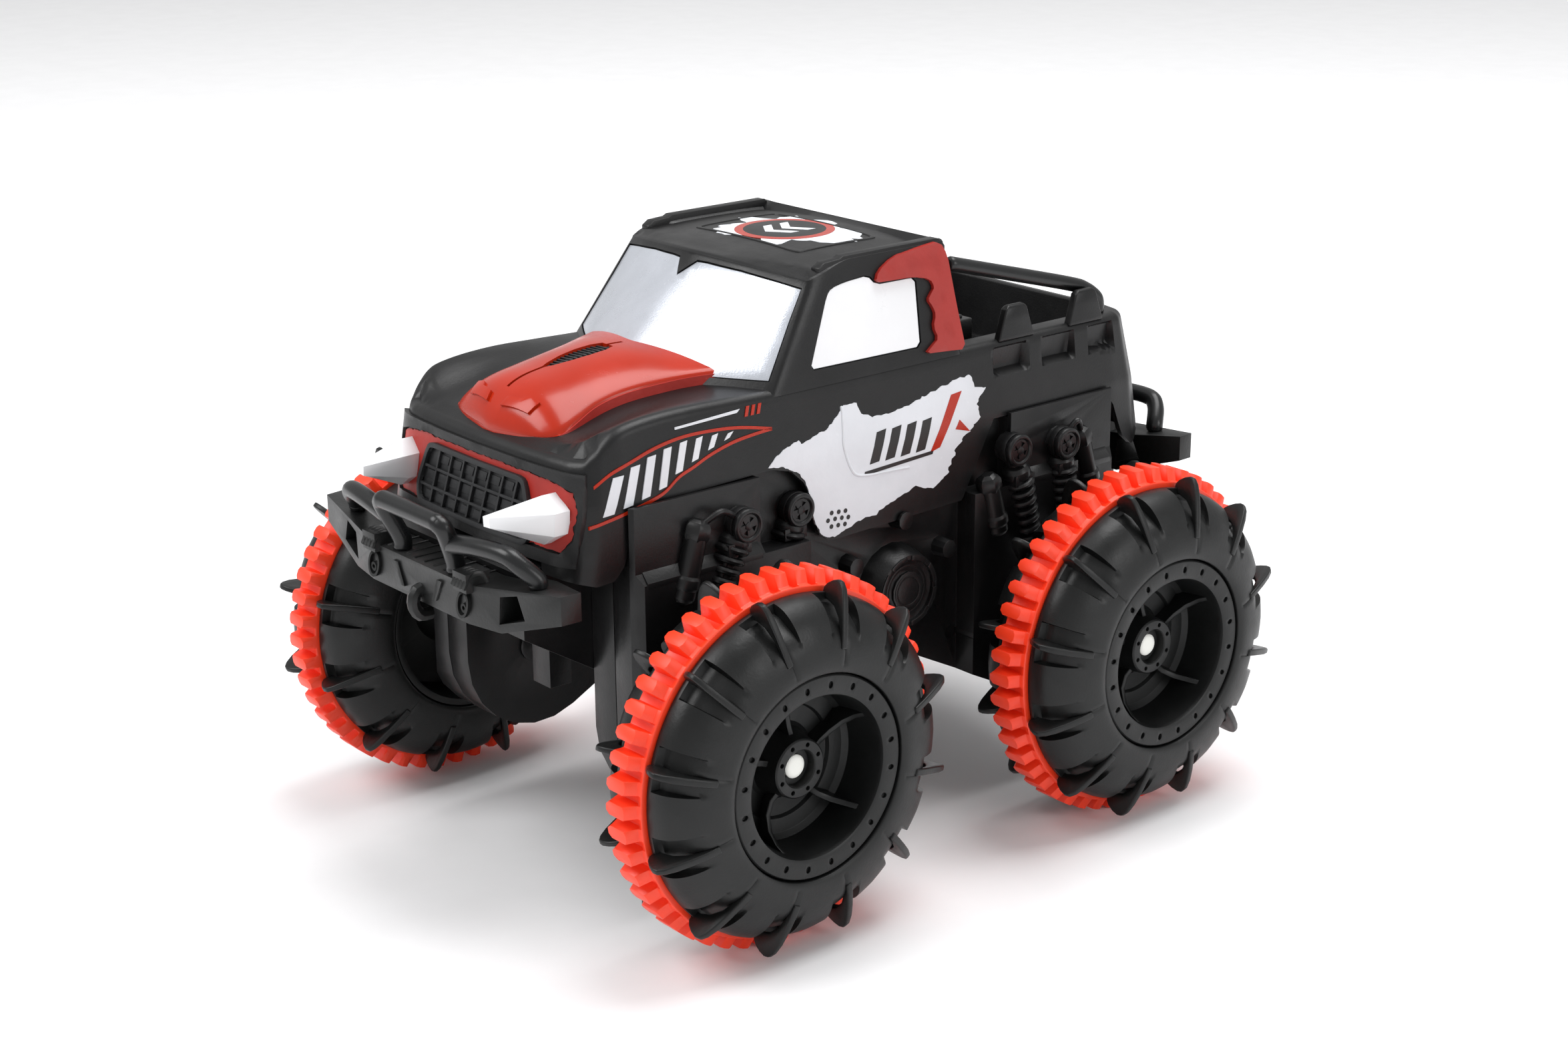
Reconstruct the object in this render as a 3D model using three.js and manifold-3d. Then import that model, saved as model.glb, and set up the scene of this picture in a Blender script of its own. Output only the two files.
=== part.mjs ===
// Remote control monster pickup: a toy with two sealed side gearboxes, four geared wheels
// and a hollow pickup shell.  Millimetres, +Z up, the nose points to -Y, the left side is +X.
// Everything is drawn around hub height (z = 0 at the axles) and lifted to stand on z = 0.
import * as THREE from 'three';
import Module from 'manifold-3d';
import { mergeVertices } from 'three/addons/utils/BufferGeometryUtils.js';
import { ConvexGeometry } from 'three/addons/geometries/ConvexGeometry.js';

const wasm = await Module();
wasm.setup();

// ---- driving dimensions -------------------------------------------------------------------
const GAP = 0.3;                   // clearance between touching pieces
const OVERSHOOT = 2;               // how far a cutter runs past what it cuts
const WHEELBASE = 129.7;
const AXLE_Y = WHEELBASE / 2;

const TREAD = { inner: 71.9, outer: 81.8, tip: 50, valley: 46, bore: 41.5, lugs: 48 };
const TYRE = { outerFace: 94.8, edgeRadius: 45, seatRadius: 41.2, innerRadius: 27.3, wall: 1.9 };
const PADDLE = { count: 12, thickness: 1.6, tip: 49.3, reach: 10.8 };
const RIM = { radius: 27, ringPlane: 93.7, opening: 21.4, dish: 79, hubRadius: 7.9, hubPlane: 86.1 };
const SPOKES = 5;
const HUB_HEIGHT = TREAD.tip * Math.cos((0.25 * 2 * Math.PI) / TREAD.lugs);   // a lug stands flat on the ground
const SHAFT_RADIUS = 2.4;
const ROUND = 24;                  // facets around a tyre

const HOUSING = { inner: 30.1, seam: 39.5, outer: 50.1, wall: 1.8, top: 63.5, frontFace: 87 };
const LOBE = { radius: 24, y: 63, tangent: 27 };      // round end of a gearbox below each hub
const ARCH_FLAT = 8;                                  // half length of the level top of the arch
const UPPER_WALL = { outer: 48, ledgeTop: 46, ledgeFoot: 43.4 };
const MID_WALL = 43;                                  // side wall behind the doors
const BOSS = { y: 5, z: 21, radius: 12.6, faceRadius: 10.4, face: 50.3 };
const PIN = { radius: 3, length: 4.6, circle: 19.3, angles: [23, 86, 149] };

const GEAR = { module: 3, inner: 34, outer: 38.6, axleTeeth: 12, idlerTeeth: 11, midTeeth: 14, pinionTeeth: 6 };
const PINION_ANGLE = 35;                              // where the pinion sits around the middle gear
const MOTOR = { radius: 10, from: 3.5, to: 27.2, shaft: 1 };

const TUB = { half: 29.8, floor: 6, bowFoot: 71, nose: 108, noseTop: 46, wall: 2, top: 62.5 };
const HATCH = { half: 20, from: 20, to: 74, thickness: 2 };
const BATTERY = { half: 17, from: 24, to: 70, height: 18 };
const BOARD = { half: 21, from: -72, to: -18, z: 44, thickness: 1.6 };
const SWITCH = { y: -52, knobHalf: 2.2, knobLength: 5, travel: 4 };

const BELT = { z: 84, half: 44 };                     // top edge of the doors and of the bed
const FLANK = 46.2;                                   // half width of the doors at the wheel arches
const SKIN = 1.7;                                     // wall of the shell
const ROOF = { half: 36.8, z: 114.4, crown: 114.8 };
const BED = { half: 37.2, from: 33, to: 95.5, floor: 65.2 };
const VALLEY_HALF = 36;                               // half width of the low middle of the hood

const BUMPER = { front: 119.6, back: 104.5, foldX: 22.6, endX: 55.5, rearDrop: 2.6 };
const BAR_RADIUS = 2.3;

const BLACK = 0x17181a;
const DARK = 0x101113;
const SIGNAL_RED = 0xff3315;
const WHITE = 0xf2f3f5;
const SILVER = 0xd9dbe0;
const STEEL = 0xb8bcc2;
const NYLON = 0xf0f0ea;

// ---- solids -------------------------------------------------------------------------------
function signedVolume(points, index) {
  let total = 0;
  for (let i = 0; i < index.length; i += 3) {
    const corner = [0, 1, 2].map((k) => new THREE.Vector3().fromArray(points, 3 * index[i + k]));
    total += corner[0].dot(corner[1].cross(corner[2]));
  }
  return total / 6;
}

// A closed solid from any closed three.js geometry, whichever way its faces were wound.
function solid(geometry) {
  const bare = new THREE.BufferGeometry();
  bare.setAttribute('position', geometry.attributes.position.clone());
  if (geometry.index) bare.setIndex(geometry.index.clone());
  const merged = mergeVertices(bare, 1e-4);
  const points = new Float32Array(merged.attributes.position.array);
  const index = [];
  const all = merged.index.array;
  for (let i = 0; i < all.length; i += 3) {
    const [a, b, c] = [all[i], all[i + 1], all[i + 2]];
    if (a !== b && b !== c && a !== c) index.push(a, b, c);
  }
  if (signedVolume(points, index) < 0) {
    for (let i = 0; i < index.length; i += 3) [index[i], index[i + 1]] = [index[i + 1], index[i]];
  }
  return new wasm.Manifold(
    new wasm.Mesh({ numProp: 3, vertProperties: points, triVerts: new Uint32Array(index) }),
  );
}

function geometryOf(body) {
  const result = body.getMesh();
  const geometry = new THREE.BufferGeometry();
  geometry.setAttribute('position', new THREE.BufferAttribute(result.vertProperties, 3));
  geometry.setIndex(new THREE.BufferAttribute(result.triVerts, 1));
  return geometry;
}

const join = (...bodies) => bodies.reduce((whole, next) => whole.add(next));
const cut = (body, ...tools) => tools.reduce((rest, tool) => rest.subtract(tool), body);

function mirrored(geometry) {
  const copy = geometry.clone().scale(-1, 1, 1);
  const index = copy.index.array;
  for (let i = 0; i < index.length; i += 3) [index[i], index[i + 1]] = [index[i + 1], index[i]];
  return copy;
}

const shapeOf = (points) => new THREE.Shape(points.map(([a, b]) => new THREE.Vector2(a, b)));

function extruded(shape, depth, columns, origin) {
  const geometry = new THREE.ExtrudeGeometry(shape, { depth, bevelEnabled: false, curveSegments: 8 });
  const [u, v, w] = columns.map((column) => new THREE.Vector3(...column));
  geometry.applyMatrix4(new THREE.Matrix4().makeBasis(u, v, w));
  geometry.translate(...origin);
  return solid(geometry);
}

// An outline of [y, z] points between two x planes, [x, z] between y planes, [x, y] between z planes.
const alongX = (points, from, to) =>
  extruded(shapeOf(points), to - from, [[0, 1, 0], [0, 0, 1], [1, 0, 0]], [from, 0, 0]);
const alongY = (points, from, to) =>
  extruded(shapeOf(points), to - from, [[1, 0, 0], [0, 0, 1], [0, -1, 0]], [0, to, 0]);
const alongZ = (points, from, to) =>
  extruded(shapeOf(points), to - from, [[1, 0, 0], [0, 1, 0], [0, 0, 1]], [0, 0, from]);

function block(x0, x1, y0, y1, z0, z1) {
  const geometry = new THREE.BoxGeometry(x1 - x0, y1 - y0, z1 - z0);
  geometry.translate((x0 + x1) / 2, (y0 + y1) / 2, (z0 + z1) / 2);
  return solid(geometry);
}

// A cylinder or cone frustum along X, centred on (y, z).
function roundX(x0, x1, y, z, radius, endRadius = radius, segments = 16) {
  const geometry = new THREE.CylinderGeometry(endRadius, radius, x1 - x0, segments);
  geometry.rotateZ(-Math.PI / 2);
  geometry.translate((x0 + x1) / 2, y, z);
  return solid(geometry);
}

// A ring turned around the X axis from a closed outline of [x, radius] points.
function turned(points, segments) {
  const closed = [...points, points[0]].map(([x, radius]) => new THREE.Vector2(radius, x));
  const geometry = new THREE.LatheGeometry(closed, segments);
  geometry.rotateZ(-Math.PI / 2);
  return solid(geometry);
}

function tube(points, radius, steps = 14) {
  const path = new THREE.CatmullRomCurve3(points.map((point) => new THREE.Vector3(...point)));
  path.curveType = 'centripetal';
  const section = new THREE.Shape().absarc(0, 0, radius, 0, 2 * Math.PI);
  return solid(new THREE.ExtrudeGeometry(section, { extrudePath: path, steps, curveSegments: 4 }));
}

function hull(points) {
  return solid(new ConvexGeometry(points.map((point) => new THREE.Vector3(...point))));
}

const mirrorPoints = (points) => points.map(([x, ...rest]) => [-x, ...rest]);
// Closes a half outline that starts and ends on the centreline.
const bothSides = (half) => [...half, ...mirrorPoints(half.slice(1, -1)).reverse()];

// Moves every edge of a counter-clockwise outline inward by the same distance.
function insetOutline(points, distance) {
  const edges = points.map(([x, y], i) => {
    const [nextX, nextY] = points[(i + 1) % points.length];
    const length = Math.hypot(nextX - x, nextY - y);
    const direction = [(nextX - x) / length, (nextY - y) / length];
    return { point: [x - direction[1] * distance, y + direction[0] * distance], direction };
  });
  return edges.map((edge, i) => {
    const before = edges[(i + edges.length - 1) % edges.length];
    const cross = before.direction[0] * edge.direction[1] - before.direction[1] * edge.direction[0];
    const dx = edge.point[0] - before.point[0];
    const dy = edge.point[1] - before.point[1];
    const along = (dx * edge.direction[1] - dy * edge.direction[0]) / cross;
    return [before.point[0] + along * before.direction[0], before.point[1] + along * before.direction[1]];
  });
}

const meshes = [];
function mesh(name, geometry, color, roughness, metalness = 0) {
  const material = new THREE.MeshStandardMaterial({ color, roughness, metalness });
  const part = new THREE.Mesh(geometry, material);
  part.name = name;
  meshes.push(part);
  return part;
}

// ---- wheel --------------------------------------------------------------------------------
const TREAD_MIDDLE = (TREAD.inner + TREAD.outer) / 2;
const flipped = (x) => 2 * TREAD_MIDDLE - x;          // the same place on the inner tyre half

// The coloured rubber band with its crosswise lugs.
function treadRing() {
  const outline = new THREE.Shape();
  const pitch = (2 * Math.PI) / TREAD.lugs;
  const corners = [[-0.31, TREAD.valley], [-0.25, TREAD.tip], [0.25, TREAD.tip], [0.31, TREAD.valley]];
  for (let lug = 0; lug < TREAD.lugs; lug += 1) {
    for (const [share, radius] of corners) {
      const angle = -Math.PI / 2 + (lug + share) * pitch;
      const point = [radius * Math.cos(angle), radius * Math.sin(angle)];
      if (lug === 0 && share === corners[0][0]) outline.moveTo(...point);
      else outline.lineTo(...point);
    }
  }
  const bore = new THREE.Path();
  for (let i = 0; i < ROUND; i += 1) {
    const angle = (-i * 2 * Math.PI) / ROUND;
    const point = [TREAD.bore * Math.cos(angle), TREAD.bore * Math.sin(angle)];
    if (i === 0) bore.moveTo(...point);
    else bore.lineTo(...point);
  }
  outline.holes.push(bore);
  const width = TREAD.outer - TREAD.inner;
  return extruded(outline, width, [[0, 1, 0], [0, 0, 1], [1, 0, 0]], [TREAD.inner, 0, 0]);
}

// One hollow half of the tyre, with the swimming paddles on its shoulder.
function tyreHalf(place) {
  const { outerFace, edgeRadius, seatRadius, innerRadius, wall } = TYRE;
  const edge = TREAD.outer + GAP;
  const middle = TREAD_MIDDLE + GAP / 2;
  const profile = [
    [middle, seatRadius], [edge, seatRadius], [edge, edgeRadius], [88.5, 43.6], [93.6, 36.5],
    [outerFace, 29.5], [93.9, innerRadius], [93.9 - wall, innerRadius],
    [90.4, seatRadius - wall], [middle, seatRadius - wall],
  ];
  const side = (points) => points.map(([x, radius]) => [place(x), radius]);
  let half = turned(side(profile), ROUND);
  const blade = side([
    [edge, edgeRadius - 1], [edge, PADDLE.tip], [edge + 4.6, PADDLE.tip - 1], [edge + PADDLE.reach, 38.6],
  ]);
  for (let i = 0; i < PADDLE.count; i += 1) {
    const geometry = new THREE.ExtrudeGeometry(shapeOf(blade), { depth: PADDLE.thickness, bevelEnabled: false });
    geometry.translate(0, 0, -PADDLE.thickness / 2);
    geometry.rotateX(Math.PI / 2 + ((i + 0.5) * 2 * Math.PI) / PADDLE.count);
    half = half.add(solid(geometry));
  }
  return half;
}

// The dished wheel centre: barrel, outer ring, five thin ribs and a hub around the shaft.
function rim() {
  const { radius, ringPlane, opening, dish, hubRadius, hubPlane } = RIM;
  const back = flipped(ringPlane);
  const bore = SHAFT_RADIUS + GAP;
  const profile = [
    [back, radius - 2], [back, radius], [ringPlane, radius], [ringPlane, opening], [dish + 1, opening - 1.4],
    [dish - 1.5, hubRadius], [hubPlane, hubRadius], [hubPlane, 4.9], [83.4, 4.9], [83.4, bore],
    [68, bore], [68, hubRadius], [dish - 4, 12], [dish, radius - 2],
  ];
  let body = turned(profile, 20);
  for (let i = 0; i < SPOKES; i += 1) {
    const spoke = block(dish - 1, 86, -0.7, 0.7, hubRadius - 0.6, opening - 0.2);
    const geometry = geometryOf(spoke);
    geometry.rotateX((i * 2 * Math.PI) / SPOKES);
    body = body.add(solid(geometry));
  }
  return body;
}

// The white nylon nut that closes the shaft end inside the hub.
const hubNut = () => turned([[83.8, 0], [83.8, 4.4], [85, 4.4], [85.8, 2.6], [85.8, 0]], 12);

// ---- gears --------------------------------------------------------------------------------
const TRAIN_ANGLE = Math.acos(AXLE_Y / (GEAR.module * (GEAR.axleTeeth / 2 + GEAR.idlerTeeth + GEAR.midTeeth / 2)));
const pitchRadius = (teeth) => (GEAR.module * teeth) / 2;
const idlerReach = pitchRadius(GEAR.axleTeeth) + pitchRadius(GEAR.idlerTeeth);
const MID_GEAR = { y: 0, z: AXLE_Y * Math.tan(TRAIN_ANGLE) };
const IDLER = { y: AXLE_Y - idlerReach * Math.cos(TRAIN_ANGLE), z: idlerReach * Math.sin(TRAIN_ANGLE) };
const pinionReach = pitchRadius(GEAR.midTeeth) + pitchRadius(GEAR.pinionTeeth);
const pinionDirection = THREE.MathUtils.degToRad(PINION_ANGLE);
const PINION = {
  y: MID_GEAR.y + pinionReach * Math.cos(pinionDirection),
  z: MID_GEAR.z + pinionReach * Math.sin(pinionDirection),
};

// A spur gear around the X axis; a tooth stands at the given angle in the YZ plane.
function spurGear(teeth, toothAngle) {
  const outline = new THREE.Shape();
  const pitch = (2 * Math.PI) / teeth;
  const radius = pitchRadius(teeth);
  const root = radius - 0.8 * GEAR.module;
  const tip = radius + 0.55 * GEAR.module;
  const corners = [[-0.29, root], [-0.1, tip], [0.1, tip], [0.29, root]];
  for (let tooth = 0; tooth < teeth; tooth += 1) {
    for (const [share, distance] of corners) {
      const angle = toothAngle + (tooth + share) * pitch;
      const point = [distance * Math.cos(angle), distance * Math.sin(angle)];
      if (tooth === 0 && share === corners[0][0]) outline.moveTo(...point);
      else outline.lineTo(...point);
    }
  }
  return extruded(outline, GEAR.outer - GEAR.inner, [[0, 1, 0], [0, 0, 1], [1, 0, 0]], [GEAR.inner, 0, 0]);
}

// The tooth angle that puts a gear in mesh with a neighbour whose tooth angle is known.
// direction points from the neighbour to the gear.
function meshingAngle(neighbourTeeth, neighbourAngle, teeth, direction) {
  const neighbourPitch = (2 * Math.PI) / neighbourTeeth;
  const pitch = (2 * Math.PI) / teeth;
  const share = (direction - neighbourAngle) / neighbourPitch;
  return direction + Math.PI - (0.5 - share) * pitch;
}

const withStub = (gear, from, to, radius) => join(gear, roundX(from, to, 0, 0, radius, radius, 8));

function gearTrain() {
  const towardsRear = TRAIN_ANGLE;
  const { axleTeeth, idlerTeeth, midTeeth, pinionTeeth } = GEAR;
  const frontIdler = meshingAngle(axleTeeth, 0, idlerTeeth, towardsRear);
  const mid = meshingAngle(idlerTeeth, frontIdler, midTeeth, towardsRear);
  const rearIdler = meshingAngle(midTeeth, mid, idlerTeeth, -towardsRear);
  const rearAxle = meshingAngle(idlerTeeth, rearIdler, axleTeeth, -towardsRear);
  const pinion = meshingAngle(midTeeth, mid, pinionTeeth, pinionDirection);
  const stubEnds = [HOUSING.inner + 0.2, MID_WALL - 1];
  return {
    front_axle: withStub(spurGear(axleTeeth, 0), HOUSING.inner + 0.2, 83.1, SHAFT_RADIUS),
    rear_axle: withStub(spurGear(axleTeeth, rearAxle), HOUSING.inner + 0.2, 83.1, SHAFT_RADIUS),
    front_idler_gear: withStub(spurGear(idlerTeeth, frontIdler), ...stubEnds, 1.6),
    rear_idler_gear: withStub(spurGear(idlerTeeth, rearIdler), ...stubEnds, 1.6),
    middle_gear: withStub(spurGear(midTeeth, mid), ...stubEnds, 1.6),
    motor_pinion: withStub(spurGear(pinionTeeth, pinion), MOTOR.to + GAP, GEAR.outer + 0.4, MOTOR.shaft),
  };
}

// ---- side gearbox housings ----------------------------------------------------------------
// Outline of a gearbox in [y, z]: two round lobes around the hubs and an arched lower edge.
function housingOutline(inset) {
  const radius = LOBE.radius - inset;
  const tangent = THREE.MathUtils.degToRad(LOBE.tangent);
  const flat = ARCH_FLAT - inset * 0.25;
  const foot = [LOBE.y - radius * Math.sin(tangent), -radius * Math.cos(tangent)];
  const archTop = foot[1] + (foot[0] - flat) * Math.tan(tangent);
  const rear = [];
  const sweep = Math.PI / 2 + tangent;
  const steps = 7;
  for (let i = 0; i <= steps; i += 1) {
    const angle = -Math.PI / 2 - tangent + (sweep * i) / steps;
    rear.push([LOBE.y + radius * Math.cos(angle), radius * Math.sin(angle)]);
  }
  rear.push([HOUSING.frontFace - inset, HOUSING.top - inset]);
  rear.unshift([flat, archTop]);
  return [...rear, ...rear.map(([y, z]) => [-y, z]).reverse()];
}

const GEAR_CENTRES = [
  [-AXLE_Y, 0], [-IDLER.y, IDLER.z], [MID_GEAR.y, MID_GEAR.z], [IDLER.y, IDLER.z], [AXLE_Y, 0],
];

function gearboxInner() {
  const body = alongX(housingOutline(0), HOUSING.inner, HOUSING.seam - GAP / 2);
  const room = alongX(housingOutline(HOUSING.wall), HOUSING.inner + HOUSING.wall, HOUSING.seam);
  const holes = GEAR_CENTRES.map(([y, z], i) => {
    const radius = (i === 0 || i === GEAR_CENTRES.length - 1 ? SHAFT_RADIUS : 1.6) + GAP;
    return roundX(HOUSING.inner - OVERSHOOT, HOUSING.inner + OVERSHOOT, y, z, radius, radius, 10);
  });
  const motorHole = roundX(HOUSING.inner - OVERSHOOT, HOUSING.inner + OVERSHOOT, PINION.y, PINION.z, 3, 3, 10);
  return cut(body, room, motorHole, ...holes);
}

// A moulded shock absorber standing on the side wall: round top eye, collar, coils and foot.
function shock(wall, top, foot) {
  const [y, z] = top;
  const eye = join(roundX(wall - 1, wall + 4.4, y, z, 4.3, 4.3, 12), roundX(wall - 1, wall + 5.2, y, z, 1.6, 1.2, 6));
  const lean = (share) => [y + (foot[0] - y) * share, z + (foot[1] - z) * share];
  const rib = (share, half, width, height) => {
    const [centreY, centreZ] = lean(share);
    return block(wall - 1, wall + height, centreY - width, centreY + width, centreZ - half, centreZ + half);
  };
  const [footY, footZ] = foot;
  const core = hull([
    [wall - 1, y - 2, z], [wall - 1, y + 2, z], [wall + 3.2, y - 1.6, z], [wall + 3.2, y + 1.6, z],
    [wall - 1, footY - 2, footZ], [wall - 1, footY + 2, footZ],
    [wall + 3.2, footY - 1.6, footZ], [wall + 3.2, footY + 1.6, footZ],
  ]);
  return join(eye, core, rib(0.33, 1.6, 3.7, 4.6));
}

// The gas reservoir beside a shock absorber.
function reservoir(wall, top, foot) {
  const across = 2.6;
  const corners = [];
  for (const [y, z] of [top, foot]) {
    for (const side of [-across, across]) {
      corners.push([wall - 1, y + side, z], [wall + 2.2, y + side, z], [wall + 3.8, y + side * 0.45, z]);
    }
  }
  return hull(corners);
}

function gearboxOuter() {
  const { seam, outer, wall, top, frontFace } = HOUSING;
  const from = seam + GAP / 2;
  let body = alongX(housingOutline(0), from, outer);
  const far = outer + OVERSHOOT;
  const stationFrom = 30;
  const upperFrom = 45.5;
  const band = [
    [UPPER_WALL.outer, UPPER_WALL.ledgeTop], [outer, UPPER_WALL.ledgeFoot], [far, UPPER_WALL.ledgeFoot],
    [far, top + OVERSHOOT], [UPPER_WALL.outer, top + OVERSHOOT],
  ];
  const upperCut = alongY(band, -frontFace - OVERSHOOT, frontFace + OVERSHOOT);
  const corner = (end) => alongZ(
    [[outer - 3.6, end * (frontFace + 0.1)], [far, end * (frontFace - 3.4)], [far, end * (frontFace + 3)]],
    -LOBE.radius - OVERSHOOT, top + OVERSHOOT,
  );
  const middle = block(MID_WALL, far, -stationFrom, stationFrom, -LOBE.radius, top + OVERSHOOT);
  const slots = [-1, 1].map((end) => {
    const near = Math.min(end * stationFrom, end * upperFrom);
    return block(MID_WALL, far, near, near + upperFrom - stationFrom, UPPER_WALL.ledgeFoot, top + OVERSHOOT);
  });
  const room = alongX(housingOutline(wall), seam, MID_WALL - wall);
  const bearings = [-AXLE_Y, AXLE_Y].map((y) => roundX(seam, far, y, 0, SHAFT_RADIUS + GAP, SHAFT_RADIUS + GAP, 12));
  const blindBearings = GEAR_CENTRES.slice(1, -1).map(([y, z]) => roundX(seam, MID_WALL - 0.8, y, z, 1.9, 1.9, 8));
  body = cut(body, upperCut, corner(-1), corner(1), middle, ...slots, room);

  const boss = roundX(MID_WALL - 1, BOSS.face, BOSS.y, BOSS.z, BOSS.radius, BOSS.faceRadius, 20);
  const bossDish = roundX(BOSS.face - 1, far, BOSS.y, BOSS.z, BOSS.faceRadius - 1.4, BOSS.faceRadius - 1.4, 20);
  const bossCap = roundX(BOSS.face - 2, BOSS.face - 0.2, BOSS.y, BOSS.z, 5.6, 5.6, 14);
  const pins = PIN.angles.map((degrees) => {
    const angle = THREE.MathUtils.degToRad(degrees);
    const y = BOSS.y + PIN.circle * Math.cos(angle);
    const z = BOSS.z + PIN.circle * Math.sin(angle);
    return roundX(MID_WALL - 1, MID_WALL + PIN.length, y, z, PIN.radius, PIN.radius * 0.85, 10);
  });
  const screwWell = roundX(MID_WALL - 1, far, 28, 1.5, 2.2, 2.2, 10);
  body = cut(join(body, boss), bossDish);
  body = cut(join(body, bossCap, ...pins), screwWell);

  const upper = UPPER_WALL.outer;
  body = join(
    body,
    shock(upper, [-53.4, 53.2], [-61, 36]), shock(MID_WALL, [-31.6, 51.6], [-36, 33]),
    shock(upper, [44.4, 54], [52.5, 26]), shock(upper, [63.7, 52.2], [66, 30]),
    reservoir(upper, [-67.5, 54.5], [-72.5, 37]), reservoir(upper, [71.6, 52.4], [76.5, 36]),
    reservoir(upper, [35.5, 45.8], [39.5, 31]),
  );
  const skirtRoom = alongX(insetOutline(SIDE_OUTLINE, -0.45), MID_WALL, FLANK + 0.5);
  return cut(body, skirtRoom, ...bearings, ...blindBearings);
}

// ---- hull between the gearboxes -----------------------------------------------------------
function hullTub() {
  const { half, floor, bowFoot, nose, noseTop, wall, top } = TUB;
  const rear = [[bowFoot, floor], [nose, 28.9], [nose, noseTop], [97, noseTop + 2], [97, top]];
  const outline = [...rear, ...rear.map(([y, z]) => [-y, z]).reverse()];
  const inside = [
    [bowFoot, floor + wall], [95, 22.5], [95, top + OVERSHOOT],
    [-95, top + OVERSHOOT], [-95, 22.5], [-bowFoot, floor + wall],
  ];
  const body = alongX(outline, -half, half);
  const room = alongX(inside, -half + wall, half - wall);
  const hatchOpening = block(
    -HATCH.half - GAP, HATCH.half + GAP, HATCH.from - GAP, HATCH.to - 4 + GAP, floor - 1, floor + wall + 1,
  );
  const switchSlot = block(
    -SWITCH.knobHalf - GAP, SWITCH.knobHalf + GAP,
    SWITCH.y - SWITCH.knobLength / 2 - GAP, SWITCH.y + SWITCH.knobLength / 2 + SWITCH.travel + GAP,
    floor - 1, floor + wall + 1,
  );
  const shaftHoles = [-1, 1].map((side) => {
    const from = side > 0 ? half - wall - 1 : -half - 1;
    return roundX(from, from + wall + 2, PINION.y, PINION.z, 3, 3, 10);
  });
  const cradle = block(-half + 1, half - 1, -12, 12, floor + 1, PINION.z - MOTOR.radius - GAP);
  const cradleCut = block(-half + 6, half - 6, -9, 9, floor + wall, top);
  const posts = [-1, 1].flatMap((side) => [BOARD.from + 3, BOARD.to - 3].map((y) =>
    block(side * 17 - 2, side * 17 + 2, y - 2, y + 2, floor + 1, BOARD.z - GAP)));
  const dividers = [22.2, 71.4].map((y) => block(-half + 1, half - 1, y, y + 1.4, floor + 1, floor + 12));
  const stub = block(-4, 4, -83, -76, 1.5, 16);
  const shaped = cut(body, room);
  return cut(join(shaped, cut(cradle, cradleCut), ...posts, stub), hatchOpening, switchSlot, ...shaftHoles);
}

function batteryHatch() {
  const { half, from, to, thickness } = HATCH;
  const plate = block(-half, half, from, to - 4, TUB.floor, TUB.floor + thickness);
  const grip = block(-6, 6, from + 4, from + 6, TUB.floor - 1, TUB.floor + 1);
  return cut(plate, grip);
}

function batteryPack() {
  const { half, from, to, height } = BATTERY;
  const bottom = TUB.floor + TUB.wall + GAP;
  const radius = height / 2;
  const cells = [-radius, radius].map((x) => {
    const geometry = new THREE.CylinderGeometry(radius - 0.2, radius - 0.2, to - from - 4, 14);
    geometry.translate(x * (half / height), (from + to) / 2 - 2, bottom + radius);
    return solid(geometry);
  });
  return join(...cells, block(-8, 8, from + 1, to - 5, bottom + 0.6, bottom + height - 0.6));
}

function circuitBoard() {
  const { half, from, to, z, thickness } = BOARD;
  const board = block(-half, half, from, to, z, z + thickness);
  const receiver = block(-12, 4, -66, -50, z + 1, z + 4.5);
  const drivers = [-44, -34].map((y) => block(-8, 2, y, y + 5, z + 1, z + 3.2));
  return join(board, receiver, ...drivers);
}

function switchKnob() {
  const { y, knobHalf, knobLength } = SWITCH;
  const stem = block(-knobHalf, knobHalf, y - knobLength / 2, y + knobLength / 2, TUB.floor - 1.2, TUB.floor + 3);
  const flange = block(
    -knobHalf - 3, knobHalf + 3, y - knobLength / 2 - 2, y + knobLength / 2 + 2,
    TUB.floor + TUB.wall + GAP, TUB.floor + TUB.wall + 1.6,
  );
  return join(stem, flange);
}

function motor() {
  const { radius, from, to } = MOTOR;
  const can = roundX(from, to - 1.4, PINION.y, PINION.z, radius, radius, 18);
  const flats = [-1, 1].map((side) => {
    const near = PINION.z + side * 7.7;
    return block(from - 1, to, -radius - 1, radius + 1, Math.min(near, near + side * 4), Math.max(near, near + side * 4));
  });
  const bearing = roundX(to - 2, to, PINION.y, PINION.z, 3, 3, 12);
  return join(cut(can, ...flats), bearing);
}

// ---- shell --------------------------------------------------------------------------------
const HOOD_LINE = [[-99.2, 75.4], [-94.8, 79.4], [-88.5, 82.2], [-79.6, 84], [-67, 84.7], [-36.5, 84.9]];
const VALLEY_LINE = [[-99.6, 75.4], [-95.5, 76.8], [-80, 79.7], [-60, 83], [-50, 84.1], [-38, 84.8]];
const CAB_LINE = [[-21.4, 108.3], [-17.1, 112.3], [-8, 114.1], [8, ROOF.crown], [20, ROOF.crown - 0.2], [28.1, 112.8], [30.7, BELT.z]];
const TAIL_LINE = [[97.6, BELT.z], [99.3, 82.2], [105.6, 47]];
const NOSE_FOOT = [-103.8, 46.2];

// The lower edge of the shell, from the tail to the nose: rear arch, sill, front lobe, front arch.
const LOWER_EDGE = [
  [98.9, 43.8], [94.5, 47.5], [90, 57.5], [86.5, 61.4], [83, 62.6], [40.4, 62.6], [28.7, 41.2], [-16.5, 40.2],
  [-20.5, 40.4], [-23.6, 42.6], [-25.3, 46.4], [-26.4, 53], [-29, 58.2], [-33.4, 62.2], [-40, 64],
  [-73, 63.2], [-79, 62], [-83.4, 59], [-85.8, 55], [-87, 48.5], [-90, 44.6], [-95, 43.8],
];

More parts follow.
